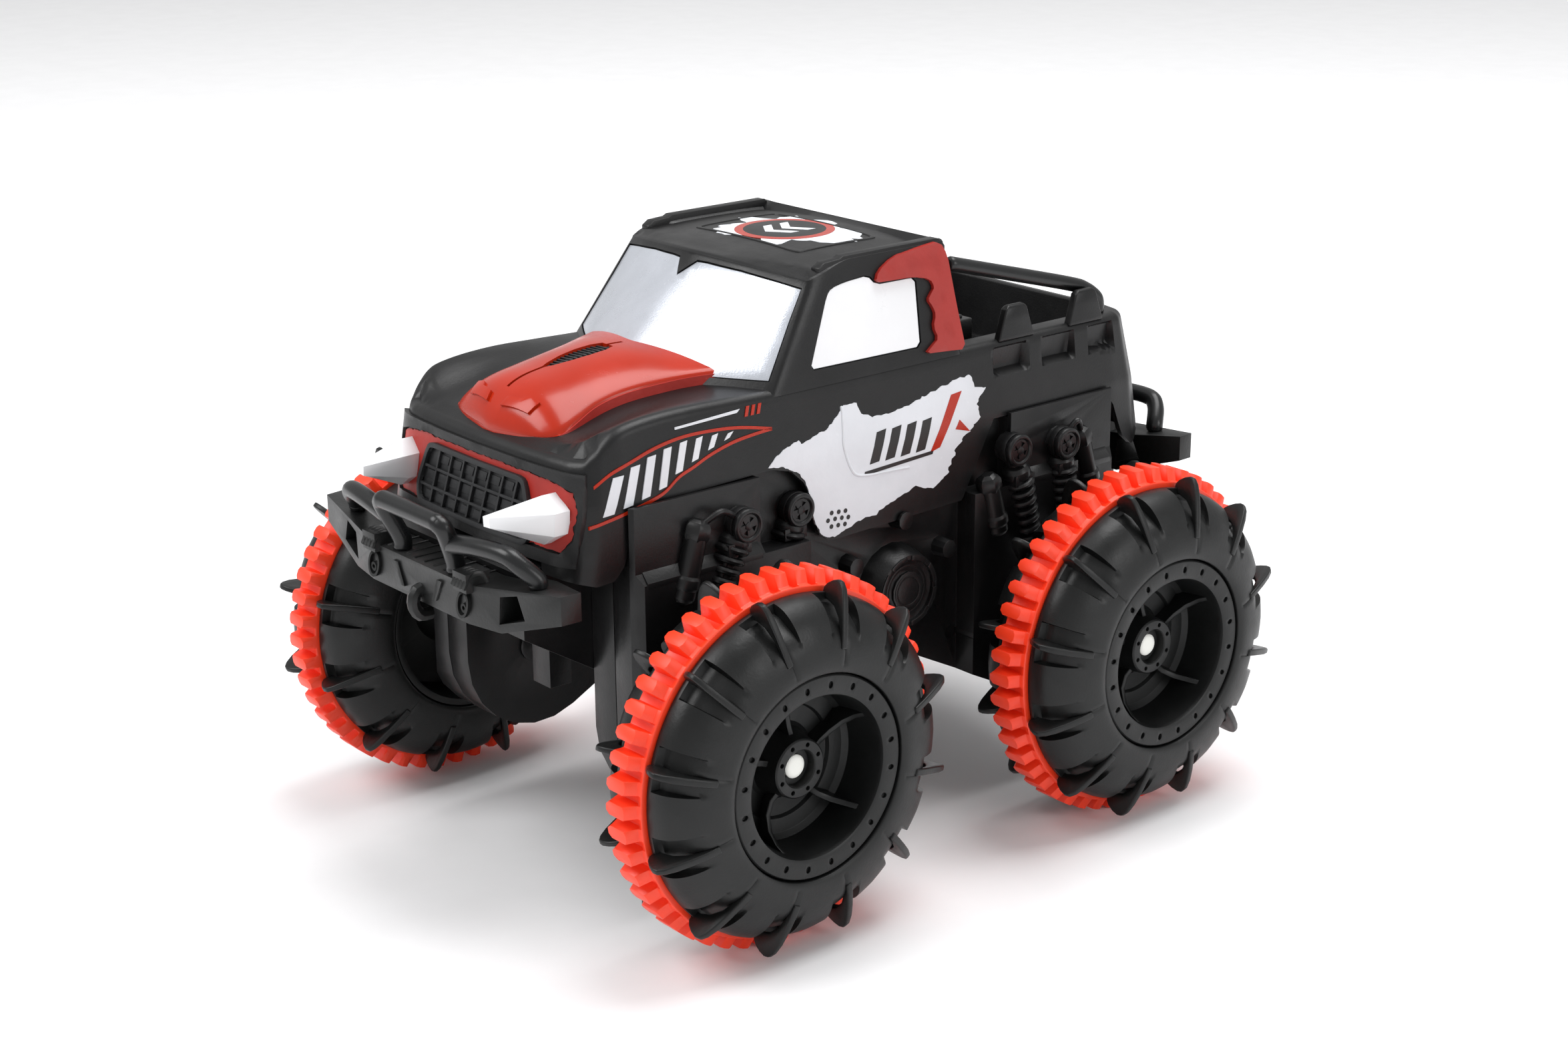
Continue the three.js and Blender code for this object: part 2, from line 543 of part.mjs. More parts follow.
const FRONT_OUTLINE = bothSides([
  [0, 20], [FLANK, 20], [FLANK, 64], [BELT.half, BELT.z], [39.6, 108.5], [38.5, 113], [ROOF.half, ROOF.z],
  [0, ROOF.crown + 0.1],
]);

const PLAN_OUTLINE = [
  [0, -104.4], [30, -103.2], [39.5, -101.4], [43, -97.5], [45.4, -86], [FLANK, -66], [FLANK, 70],
  [45.6, 99], [42, 106.4], [0, 106.8],
];

const SIDE_OUTLINE = [...[...HOOD_LINE, ...CAB_LINE, ...TAIL_LINE].reverse(), NOSE_FOOT, ...[...LOWER_EDGE].reverse()];

function shellOutside() {
  return alongX(SIDE_OUTLINE, -60, 60)
    .intersect(alongY(FRONT_OUTLINE, -120, 120))
    .intersect(alongZ(bothSides(PLAN_OUTLINE), 0, 130));
}

function shellInside() {
  const upper = [
    [-101.4, 20], [-97.4, 68.5], [-96, 74.9], [-80, 78], [-60, 81.3], [-37.4, 83], [-22.6, 106.8],
    [-18, 110.6], [-8, 112.4], [8, ROOF.crown - SKIN], [20, 112.8], [26.5, 111.4], [29, 63.5],
    [98.5, 63.5], [102.6, 46], [102.6, 20],
  ];
  const front = bothSides([
    [0, 18], [FLANK - SKIN, 18], [FLANK - SKIN, 64], [BELT.half - SKIN, BELT.z], [37.8, 108.2],
    [36, ROOF.z - SKIN - 0.2], [0, ROOF.crown - SKIN + 0.1],
  ]);
  const plan = bothSides([
    [0, -101.6], [29, -100.6], [38, -98.8], [41, -95.4], [43.6, -85], [FLANK - SKIN, -66],
    [FLANK - SKIN, 70], [43.8, 97], [40.6, 103.2], [0, 103.6],
  ]);
  return alongX(upper, -60, 60)
    .intersect(alongY(front, -120, 120))
    .intersect(alongZ(plan, 0, 130));
}

const WINDSHIELD = [
  [-39.6, 86.9], [-31, 88.9], [-24, 92.4], [24, 92.4], [31, 88.9], [39.6, 86.9], [36, 107.2], [18, 109.6], [-18, 109.6],
  [-36, 107.2],
];
const SIDE_WINDOW = [[-21.6, 86.6], [16.8, 86.2], [15.2, 107.2], [-2.4, 109], [-14, 108]];

function stakePosts() {
  return [51.4, 79.2].flatMap((y) => [-1, 1].map((side) => {
    const foot = BELT.z - 1;
    const top = BELT.z + 9;
    const points = [];
    for (const x of [41.4, 43.9]) {
      points.push([side * x, y - 7, foot], [side * x, y + 7, foot]);
      points.push([side * (x - 0.2), y - 3.8, top], [side * (x - 0.2), y + 3.6, top]);
    }
    return hull(points);
  }));
}

function sideNotches() {
  return [48.4, 67, 86].flatMap((y) => [-1, 1].map((side) => {
    const points = [];
    for (const end of [-6.6, 6.6]) {
      points.push([side * 50, y + end, 82], [side * 43.4, y + end, 81.6], [side * 42.4, y + end, 76]);
      points.push([side * 50, y + end, 74]);
    }
    return hull(points);
  }));
}

// The front of the cab bows forward between the pillars.  depth moves only its front face inward.
function cabFront(depth) {
  const bow = [[0, 0], [0.5, 0.37], [1, 1]];
  const points = [];
  for (const [share, blend] of bow) {
    for (const [z, middle, corner, half] of [[84.5, -57.7, -36.8, 43], [110, -31.5, -20.3, 37.6]]) {
      const front = middle + (corner - middle) * blend + depth * 1.35;
      const top = z > 100 ? 1.6 * (1 - share) : 0;
      for (const side of [-1, 1]) points.push([side * share * half, front, z + top]);
    }
  }
  for (const x of [-37, 37]) points.push([x, -16, 84.5], [x, -16, 110.5], [x * 0.5, -16, 112.6]);
  return hull(points);
}

// The raised part of the hood: a crowned form with steep sides, widening towards the windshield.
const BULGE_ROWS = [
  [-95.8, 3, 77.2, 79], [-93, 10.5, 80.4, 84.4], [-88.6, 17.6, 81.6, 87.4], [-79, 18.8, 83, 89.4], [-68, 19.6, 85, 91],
  [-57, 21.8, 86.6, 91.7], [-43, 26.6, 88, 91.7],
];

function hoodBulge() {
  const points = [];
  for (const [y, half, edge, crown] of BULGE_ROWS) {
    for (const side of [-1, 1]) {
      points.push([side * half, y, edge - 6], [side * half, y, edge], [side * half * 0.5, y, edge + (crown - edge) * 0.8]);
    }
    points.push([0, y, crown]);
  }
  return hull(points);
}

function bodyShell() {
  const inside = shellInside();
  const valley = alongX([...VALLEY_LINE, [-38, 95], [-99.6, 95]], -VALLEY_HALF, VALLEY_HALF);
  let body = join(cut(shellOutside(), valley), cabFront(0), hoodBulge());
  body = cut(body, inside, cabFront(1.9).subtract(block(-60, 60, -70, -10, 80, 84.9)));
  const tray = block(-BED.half, BED.half, BED.from, BED.to, BED.floor, BELT.z + OVERSHOOT * 20);
  const glassFront = alongY(WINDSHIELD, -62, -10);
  const glassSides = alongX(SIDE_WINDOW, -60, 60);
  body = cut(body, tray, glassFront, glassSides, ...sideNotches());
  const toolBox = block(-29, 29, BED.from - 3, 48.5, BED.floor - 1, 87);
  const toolBoxRoom = block(-27.4, 27.4, BED.from - 4, 46.9, BED.floor - 3, 85.4);
  const grilleOpening = block(-21.6, 21.6, -110, -95, 52.6, 68.6);
  const tubRoom = TUB.half + GAP + 0.2;
  const overTub = block(-tubRoom, tubRoom, -120, 120, 30, TUB.noseTop + 2.4);
  const lampHoles = [-1, 1].map((side) => hull(lampSection(side, -108, 0.35).concat(lampSection(side, -92, 0.35))));
  body = join(body, cut(toolBox, toolBoxRoom), ...stakePosts());
  return cut(body, toolBoxRoom, grilleOpening, overTub, ...lampHoles);
}

// Outline of a headlight where it passes through the front panel, grown by a clearance.
function lampSection(side, y, grow = 0) {
  const outline = [[33.1, 67.2], [38.6, 63.6], [38.2, 57.6], [33.4, 54.4], [28.8, 57.4], [28.4, 63.8]];
  const centre = [33.4, 60.8];
  return outline.map(([x, z]) => {
    const reach = 1 + grow / Math.hypot(x - centre[0], z - centre[1]);
    return [side * (centre[0] + (x - centre[0]) * reach), y, centre[1] + (z - centre[1]) * reach];
  });
}

// A headlight: a white tusk that tapers forward from the panel to a blunt tip.
function headlight(side) {
  const tip = [[28, 63.6], [30.8, 63.8], [31, 61.2], [28.2, 61]].map(([x, z]) => [side * x, -117.6, z]);
  return join(
    hull(lampSection(side, -98.8).concat(lampSection(side, -103.4))),
    hull(lampSection(side, -103.3).concat(tip)),
  );
}

function windshield() {
  const pane = alongY(insetOutline(WINDSHIELD, GAP), -62, -10);
  return cut(cabFront(0.5), cabFront(1.7)).intersect(pane);
}

function sideWindow() {
  const pane = alongX(insetOutline(SIDE_WINDOW, GAP), 0, 60);
  const slab = [[42.5, 84], [37.9, 110], [36.7, 110], [41.3, 84]];
  return pane.intersect(alongY(slab, -60, 60));
}

function grille() {
  const plate = block(-21.2, 21.2, -101.2, -100.2, 53, 68.2);
  const frame = cut(block(-21.2, 21.2, -103, -101, 53, 68.2), block(-19.8, 19.8, -104, -100, 54.4, 66.8));
  const bars = [58.4, 62.8].map((z) => block(-20.5, 20.5, -102.2, -101, z - 0.4, z + 0.4));
  const posts = [-12, -4, 4, 12].map((x) => block(x - 0.4, x + 0.4, -102.2, -101, 53.6, 67.6));
  return join(plate, frame, ...bars, ...posts);
}

// ---- bumpers, bars ------------------------------------------------------------------------
function bumper() {
  const { front, back, foldX, endX } = BUMPER;
  const elevation = bothSides([[0, 34], [34, 34.4], [endX, 41.4], [endX, 48.8], [foldX, 44.6], [0, 44.6]])
    ;
  const plan = bothSides([
    [0, -front], [foldX, -front], [endX - 0.6, -113.8], [endX, -108.2], [40, -back], [0, -back],
  ]);
  const body = alongY(elevation, -130, -90).intersect(alongZ(plan, 20, 60));
  const noseRoom = block(-TUB.half - GAP, TUB.half + GAP, -TUB.nose - GAP, -90, 20, TUB.noseTop + GAP);
  const pockets = [-1, 1].map((side) => hull([-125, -95].flatMap((y) => [
    [side * 33.4, y, 36.6], [side * 42.4, y, 39.6], [side * 40, y, 45.6], [side * 34, y, 44],
  ])));
  const hook = tube([[0, -116, 38], [0, -120.8, 37], [0, -121.7, 33.5], [0, -119.8, 30.6], [0, -116.6, 30.4]], 1.8, 10);
  const knots = [-1, 1].map((side) => block(side * 21.5 - 3, side * 21.5 + 3, -121.2, -114, 43, 48));
  return join(cut(body, noseRoom, ...pockets), hook, ...knots);
}

function bullBar() {
  const foot = 45;
  const centre = tube([
    [12.6, -116.4, foot], [12.7, -116.6, 48], [14.6, -120.6, 57.2], [12, -121.3, 59], [-12, -121.3, 59],
    [-14.6, -120.6, 57.2], [-12.7, -116.6, 48], [-12.6, -116.4, foot],
  ], BAR_RADIUS, 14);
  const outer = [-1, 1].map((side) => tube([
    [side * 13.4, -118.6, 53], [side * 24, -118, 54.8], [side * 35.5, -116.6, 55.2], [side * 39.4, -115, 53.2],
    [side * 42, -112, 49.6], [side * 42.2, -111.6, 47.9],
  ], BAR_RADIUS, 8));
  return join(centre, ...outer);
}

const rollBar = () => tube([
  [37, 31.6, 106.4], [37.4, 45, 102.8], [38.6, 76, 94.4], [38.8, 83.6, 91.6], [38.9, 87.8, 88.6], [38.9, 88.6, 86.4],
  [38.9, 88.6, 84.4],
], 2.1, 11);

// ---- assembly -----------------------------------------------------------------------------
const car = new THREE.Group();
const atHubHeight = new THREE.Group();
atHubHeight.position.z = HUB_HEIGHT;
car.add(atHubHeight);

// Wheels: the left ones as drawn, the right ones turned half a turn about Z.
const ring = geometryOf(treadRing());
const outerTyre = geometryOf(tyreHalf((x) => x));
const innerTyre = geometryOf(tyreHalf(flipped));
const rimCentre = geometryOf(rim());
const nut = geometryOf(hubNut());
for (const [side, turn] of [['left', 0], ['right', Math.PI]]) {
  for (const [end, y] of [['front', -AXLE_Y], ['rear', AXLE_Y]]) {
    const wheel = new THREE.Group();
    wheel.position.y = y;
    wheel.rotation.z = turn;
    const name = `${end}_${side}`;
    wheel.add(mesh(`${name}_tread_ring`, ring, SIGNAL_RED, 0.45));
    wheel.add(mesh(`${name}_tyre_outer_half`, outerTyre, BLACK, 0.6));
    wheel.add(mesh(`${name}_tyre_inner_half`, innerTyre, BLACK, 0.6));
    wheel.add(mesh(`${name}_rim`, rimCentre, BLACK, 0.55));
    wheel.add(mesh(`${name}_hub_nut`, nut, NYLON, 0.5));
    atHubHeight.add(wheel);
  }
}

// Each side holds the same gear train, drawn for the left and mirrored for the right.
const train = gearTrain();
const trainPlaces = {
  front_axle: [-AXLE_Y, 0],
  rear_axle: [AXLE_Y, 0],
  front_idler_gear: [-IDLER.y, IDLER.z],
  rear_idler_gear: [IDLER.y, IDLER.z],
  middle_gear: [MID_GEAR.y, MID_GEAR.z],
  motor_pinion: [PINION.y, PINION.z],
};
const sidePieces = {
  gearbox_inner_half: [gearboxInner(), BLACK, 0.5, 0],
  gearbox_outer_half: [gearboxOuter(), BLACK, 0.5, 0],
  motor: [motor(), STEEL, 0.35, 0.9],
  headlight: [headlight(1), WHITE, 0.35, 0],
  side_window: [sideWindow(), WHITE, 0.25, 0],
  roll_bar: [rollBar(), BLACK, 0.45, 0],
};
for (const side of ['left', 'right']) {
  const handed = (body) => (side === 'left' ? geometryOf(body) : mirrored(geometryOf(body)));
  for (const [piece, [y, z]] of Object.entries(trainPlaces)) {
    const metal = piece.endsWith('axle') || piece === 'motor_pinion';
    const part = mesh(`${side}_${piece}`, handed(train[piece]), metal ? STEEL : NYLON, 0.4, metal ? 0.8 : 0);
    part.position.set(0, y, z);
    atHubHeight.add(part);
  }
  for (const [piece, [body, color, roughness, metalness]] of Object.entries(sidePieces)) {
    atHubHeight.add(mesh(`${side}_${piece}`, handed(body), color, roughness, metalness));
  }
}

const centrePieces = {
  hull_tub: [hullTub(), BLACK, 0.5, 0],
  battery_hatch: [batteryHatch(), BLACK, 0.5, 0],
  battery_pack: [batteryPack(), 0x2f62b5, 0.4, 0],
  circuit_board: [circuitBoard(), 0x1f6b3a, 0.5, 0],
  switch_knob: [switchKnob(), DARK, 0.5, 0],
  body_shell: [bodyShell(), BLACK, 0.55, 0],
  windshield: [windshield(), SILVER, 0.3, 0.1],
  grille: [grille(), DARK, 0.5, 0],
  front_bumper: [bumper(), BLACK, 0.5, 0],
  front_bull_bar: [bullBar(), BLACK, 0.4, 0],
};
for (const [name, [body, color, roughness, metalness]] of Object.entries(centrePieces)) {
  atHubHeight.add(mesh(name, geometryOf(body), color, roughness, metalness));
}

// The rear bumper and its bar are the front ones turned round and set slightly lower.
const rearEnd = new THREE.Group();
rearEnd.rotation.z = Math.PI;
rearEnd.position.z = -BUMPER.rearDrop;
rearEnd.add(mesh('rear_bumper', geometryOf(bumper()), BLACK, 0.5));
rearEnd.add(mesh('rear_bull_bar', geometryOf(bullBar()), BLACK, 0.4));
atHubHeight.add(rearEnd);

export default car;
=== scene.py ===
# Remote control monster pickup: the visual model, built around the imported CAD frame.
# Lengths in this file are millimetres around hub height (z = 0 at the axles) unless a name says
# otherwise; P() turns them into Blender metres.  The nose points to -Y and the left side is +X.
from math import ceil, cos, hypot, pi, radians, sin

import bmesh
import bpy
from mathutils import Matrix, Vector, noise
from mathutils.geometry import delaunay_2d_cdt


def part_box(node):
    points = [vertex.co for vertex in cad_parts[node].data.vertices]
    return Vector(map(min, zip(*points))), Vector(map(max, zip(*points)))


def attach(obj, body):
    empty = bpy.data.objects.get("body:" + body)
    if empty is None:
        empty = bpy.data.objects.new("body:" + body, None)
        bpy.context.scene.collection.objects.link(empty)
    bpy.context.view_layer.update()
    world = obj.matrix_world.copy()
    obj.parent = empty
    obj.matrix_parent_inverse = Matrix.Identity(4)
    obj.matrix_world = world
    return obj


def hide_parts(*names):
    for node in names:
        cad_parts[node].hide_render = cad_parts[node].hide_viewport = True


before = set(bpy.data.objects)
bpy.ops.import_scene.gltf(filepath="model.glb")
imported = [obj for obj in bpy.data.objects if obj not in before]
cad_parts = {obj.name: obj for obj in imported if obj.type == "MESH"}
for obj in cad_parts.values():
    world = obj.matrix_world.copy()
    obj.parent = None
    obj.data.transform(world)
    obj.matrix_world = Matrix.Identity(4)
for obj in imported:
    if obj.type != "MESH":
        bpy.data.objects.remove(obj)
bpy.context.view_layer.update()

MM = 0.001
rim_low, rim_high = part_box("front_left_rim")
HUB = (rim_low.z + rim_high.z) / 2  # height of the axles, metres
AXLE_Y = -(rim_low.y + rim_high.y) / 2 / MM
TREAD_MIDDLE = 76.85  # middle plane of a wheel
REAR_DROP = 2.6  # the rear bumper hangs this much lower
SAME_POINT = 2e-6  # metres; nearer points become one


def P(x, y, z):
    return Vector((x * MM, y * MM, z * MM + HUB))


# ---- materials
def linear(code):
    parts = [((code >> bits) & 255) / 255 for bits in (16, 8, 0)]
    return [c / 12.92 if c <= 0.04045 else ((c + 0.055) / 1.055) ** 2.4 for c in parts] + [1]


CLOUD_SCALE, GLOSS_SCALE, SPECK_SCALE = 42, 95, 620
RELIEF_DEPTH = 0.00012  # metres, of the finest grain
COAT_ROUGHNESS = 0.12
MIX_A, MIX_B, MIX_RESULT = 6, 7, 2  # colour sockets of a Mix node


def plastic(name, code, rough, grain=900, bump=0.12, vary=0.12, spread=0.1, metal=0.0, coat=0.0,
            edge=0.0, streak=0.0, specks=0.0, specular=0.5):
    """Moulded plastic or paint: cloudy colour, uneven gloss, fine grain and rubbed edges."""
    made = bpy.data.materials.new(name)
    made.use_nodes = True
    nodes, links = made.node_tree.nodes, made.node_tree.links
    shader = nodes["Principled BSDF"]
    shader.inputs["Metallic"].default_value = metal
    shader.inputs["Coat Weight"].default_value = coat
    shader.inputs["Coat Roughness"].default_value = COAT_ROUGHNESS
    shader.inputs["Specular IOR Level"].default_value = specular
    where = nodes.new("ShaderNodeTexCoord")

    def noise_node(scale, detail, roughness=0.55, distortion=0.0):
        node = nodes.new("ShaderNodeTexNoise")
        node.inputs["Scale"].default_value = scale
        node.inputs["Detail"].default_value = detail
        node.inputs["Roughness"].default_value = roughness
        node.inputs["Distortion"].default_value = distortion
        links.new(where.outputs["Object"], node.inputs["Vector"])
        return node.outputs["Fac"]

    def spread_out(source, *limits):
        node = nodes.new("ShaderNodeMapRange")
        for key, value in zip(("From Min", "From Max", "To Min", "To Max"), limits):
            node.inputs[key].default_value = value
        links.new(source, node.inputs["Value"])
        return node.outputs["Result"]

    def mix(factor, first, second):
        node = nodes.new("ShaderNodeMix")
        node.data_type = "RGBA"
        for socket, value in ((node.inputs[MIX_A], first), (node.inputs[MIX_B], second)):
            if hasattr(value, "links"):
                links.new(value, socket)
            else:
                socket.default_value = value
        links.new(factor, node.inputs[0])
        return node.outputs[MIX_RESULT]

    base = linear(code)
    dark = [c * (1 - vary) for c in base[:3]] + [1]
    light = [min(1, c * (1 + vary) + 0.002) for c in base[:3]] + [1]
    cloud = noise_node(CLOUD_SCALE, 5)
    colour = mix(spread_out(cloud, 0.35, 0.65, 0, 1), dark, light)
    if specks:
        dots = noise_node(SPECK_SCALE, 2)
        pale = [min(1, c + specks) for c in base[:3]] + [1]
        colour = mix(spread_out(dots, 0.68, 0.78, 0, 0.6), colour, pale)
    if edge:
        geometry = nodes.new("ShaderNodeNewGeometry")
        rubbed = [min(1, c * 1.6 + 0.05) for c in base[:3]] + [1]
        worn = spread_out(geometry.outputs["Pointiness"], 0.53, 0.62, 0, edge)
        colour = mix(worn, colour, rubbed)
    links.new(colour, shader.inputs["Base Color"])
    gloss = noise_node(GLOSS_SCALE, 6, 0.65, streak)
    uneven = spread_out(gloss, 0.3, 0.7, rough - spread / 2, rough + spread / 2)
    links.new(uneven, shader.inputs["Roughness"])
    fine = noise_node(grain * 1.6, 3)
    relief = nodes.new("ShaderNodeBump")
    relief.inputs["Strength"].default_value = bump
    relief.inputs["Distance"].default_value = RELIEF_DEPTH
    links.new(fine, relief.inputs["Height"])
    links.new(relief.outputs["Normal"], shader.inputs["Normal"])
    return made


TREAD_RED = plastic("tread rubber", 0xF23A16, 0.42, 700, 0.1, 0.05, 0.1, edge=0.06)
TYRE_BLACK = plastic("tyre plastic", 0x0B0C0C, 0.4, 800, 0.3, 0.2, 0.16, edge=0.1, specular=0.34)
RIM_BLACK = plastic("rim plastic", 0x0C0D0D, 0.42, 800, 0.25, 0.2, 0.14, edge=0.1, specular=0.34)
HOUSING_BLACK = plastic("housing plastic", 0x0D0D0E, 0.36, 900, 0.3, 0.25, 0.16, edge=0.08,
                        specular=0.35)
SHELL_BLACK = plastic("shell plastic", 0x0D0D0E, 0.38, 1000, 0.3, 0.2, 0.12, edge=0.1, specular=0.34)
BUMPER_BLACK = plastic("bumper plastic", 0x0E0F0F, 0.4, 620, 0.45, 0.22, 0.12, edge=0.12, specular=0.36)
BAR_BLACK = plastic("bar plastic", 0x0E0F10, 0.3, 800, 0.15, 0.2, 0.1, edge=0.08, specular=0.4)
RED_PAINT = plastic("red paint", 0xA62203, 0.24, 500, 0.12, 0.07, 0.1, coat=0.12, edge=0.06,
                    specular=0.3)
ACCENT_RED = plastic("accent red paint", 0x961C12, 0.38, 500, 0.5, 0.1, 0.14, edge=0.1)
ROUGH_RED = plastic("rough red paint", 0xA6241A, 0.5, 260, 0.8, 0.16, 0.2, specks=0.08)
WHITE_PAINT = plastic("white paint", 0xD6D9DE, 0.42, 400, 0.6, 0.05, 0.12, specks=0.05)
WHITE_PLASTIC = plastic("white plastic", 0xE9EAEC, 0.3, 700, 0.1, 0.02, 0.08)
SILVER_PAINT = plastic("silver paint", 0xC4C8D0, 0.3, 1200, 0.35, 0.07, 0.14, metal=0.55, specks=0.16)
NYLON = plastic("white nylon", 0xECECE6, 0.42, 600, 0.15, 0.03, 0.1)
STEEL = plastic("steel", 0xB9BDC3, 0.34, 900, 0.2, 0.08, 0.16, metal=1.0, streak=2.0)
CELL_WRAP = plastic("battery wrap", 0x2F62B5, 0.36, 500, 0.15, 0.1, 0.1)
BOARD_GREEN = plastic("circuit board", 0x1F6B3A, 0.45, 700, 0.3, 0.2, 0.15)
KNOB_BLACK = plastic("knob plastic", 0x161719, 0.5, 700, 0.3, 0.15, 0.1, edge=0.1)
INK_BLACK = plastic("black ink", 0x0C0C0D, 0.4, 600, 0.2, 0.2, 0.12)


# ---- mesh helpers
def lerp(a, b, t):
    return a + (b - a) * t


def smooth(t):
    t = min(1, max(0, t))
    return t * t * (3 - 2 * t)


def curve(table):
    """A smooth function through (argument, value) rows."""
    keys = [k for k, _ in table]
    values = [v for _, v in table]
    slopes = []
    for i in range(len(table)):
        a, b = max(i - 1, 0), min(i + 1, len(table) - 1)
        slopes.append((values[b] - values[a]) / (keys[b] - keys[a]))

    def read(k):
        if k <= keys[0]:
            return values[0]
        if k >= keys[-1]:
            return values[-1]
        i = max(j for j in range(len(keys)) if keys[j] <= k)
        h = keys[i + 1] - keys[i]
        t = (k - keys[i]) / h
        return (
            (2 * t ** 3 - 3 * t ** 2 + 1) * values[i] + (t ** 3 - 2 * t ** 2 + t) * h * slopes[i]
            + (3 * t ** 2 - 2 * t ** 3) * values[i + 1] + (t ** 3 - t ** 2) * h * slopes[i + 1]
        )
    return read


def through(points, per_span):
    """Points along a smooth curve through the given ones."""
    points = [Vector(p) for p in points]
    out = []
    for i in range(len(points) - 1):
        a, b = points[max(i - 1, 0)], points[i]
        c, d = points[i + 1], points[min(i + 2, len(points) - 1)]
        for step in range(per_span):
            t = step / per_span
            out.append(0.5 * (2 * b + (c - a) * t + (2 * a - 5 * b + 4 * c - d) * t * t
                              + (3 * b - a - 3 * c + d) * t ** 3))
    return out + [points[-1]]


def loft(rows, loop=False, caps=False):
    """Faces between closed rows of points; loop joins the last row to the first."""
    n = len(rows[0])
    verts = [p for row in rows for p in row]
    faces = []
    for i in range(len(rows) if loop else len(rows) - 1):
        a, b = i * n, ((i + 1) % len(rows)) * n
        for k in range(n):
            faces.append((a + k, a + (k + 1) % n, b + (k + 1) % n, b + k))
    if caps:
        faces.append(tuple(reversed(range(n))))
        faces.append(tuple(range((len(rows) - 1) * n, len(rows) * n)))
    return verts, faces


def merge(*parts):
    verts, faces = [], []
    for part_verts, part_faces in parts:
        faces += [tuple(len(verts) + i for i in face) for face in part_faces]
        verts += part_verts
    return verts, faces


def flip(part):
    """The mirror image of a left-hand part."""
    verts, faces = part
    return [Vector((-p[0], p[1], p[2])) for p in verts], [tuple(reversed(face)) for face in faces]


def shift(part, dy):
    return [Vector((p[0], p[1] + dy, p[2])) for p in part[0]], part[1]


def for_rear(part):
    """A part of the front end turned half a turn and lowered to the rear bumper."""
    return [Vector((-p[0], -p[1], p[2] - REAR_DROP)) for p in part[0]], part[1]


def angles(count):
    """Angles evenly round a circle, in radians."""
    return [2 * pi * i / count for i in range(count)]


def resample(outline, step, closed=True):
    out = []
    count = len(outline) if closed else len(outline) - 1
    for i in range(count):
        a, b = outline[i], outline[(i + 1) % len(outline)]
        pieces = max(1, ceil(hypot(b[0] - a[0], b[1] - a[1]) / step))
        out += [(lerp(a[0], b[0], k / pieces), lerp(a[1], b[1], k / pieces)) for k in range(pieces)]
    return out if closed else out + [tuple(outline[-1])]


def rounded(outline, rounds=2):
    """Cuts the corners of a closed outline."""
    for _ in range(rounds):
        cut = []
        for i, a in enumerate(outline):
            b = outline[(i + 1) % len(outline)]
            share = min(0.25, 1.4 / max(hypot(b[0] - a[0], b[1] - a[1]), 1e-6))
            cut += [(lerp(a[0], b[0], share), lerp(a[1], b[1], share)),
                    (lerp(a[0], b[0], 1 - share), lerp(a[1], b[1], 1 - share))]
        outline = cut
    return outline


def ragged(outline, amount):
    """Torn paint edge: the outline pushed in and out by noise."""
    points = resample(outline, 0.9)
    out = []
    for i, (a, b) in enumerate(points):
        before, after = points[i - 1], points[(i + 1) % len(points)]
        length = hypot(after[0] - before[0], after[1] - before[1]) or 1
        coarse = noise.noise((a * 0.55, b * 0.55, 3.1))
        fine = noise.noise((a * 1.7, b * 1.7, 7.7))
        push = amount * (coarse + 0.6 * fine)
        out.append((a + (after[1] - before[1]) / length * push,
                    b - (after[0] - before[0]) / length * push))
    return out


def within(a, b, outline):
    hit = False
    for i in range(len(outline)):
        (a0, b0), (a1, b1) = outline[i - 1], outline[i]
        if (b0 > b) != (b1 > b) and a < (a1 - a0) * (b - b0) / (b1 - b0) + a0:
            hit = not hit
    return hit


def fill(loops, step, offset=0.0, clearance=0.55):
    """Triangles inside the first loop and outside the others, with a grid of points inside."""
    points, edges = [], []
    for loop in loops:
        start = len(points)
        points += loop
        edges += [(start + i, start + (i + 1) % len(loop)) for i in range(len(loop))]
    border = list(points)

    def inside(a, b):
        return within(a, b, loops[0]) and not any(within(a, b, hole) for hole in loops[1:])

    low = [min(p[k] for p in loops[0]) for k in (0, 1)]
    high = [max(p[k] for p in loops[0]) for k in (0, 1)]
    columns, lines = int((high[0] - low[0]) / step), int((high[1] - low[1]) / step)
    for i in range(1, columns + 1):
        for k in range(1, lines + 1):
            a, b = low[0] + (i + offset) * step, low[1] + k * step
            if inside(a, b) and all(abs(a - p) + abs(b - q) > clearance * step for p, q in border):
                points.append((a, b))
    made = delaunay_2d_cdt([Vector(p) for p in points], edges, [], 0, 1e-5)
    verts = [tuple(v) for v in made[0]]
    faces = [tuple(face) for face in made[2]
             if inside(*(sum(verts[i][k] for i in face) / len(face) for k in (0, 1)))]
    return verts, faces


def cover(rows, hole, height, step):
    """Closes the top of a wall, round an optional hole, at the heights given by a function."""
    rim = [(p.x, p.y) for p in rows[-1]]
    verts, faces = fill([rim] + ([hole] if hole else []), step, -0.5, 0.6)
    known = {(round(p.x, 4), round(p.y, 4)): p.z for p in rows[-1]}

    def level(x, y):
        return known.get((round(x, 4), round(y, 4)), height(x, y))
    return [Vector((x, y, level(x, y))) for x, y in verts], faces


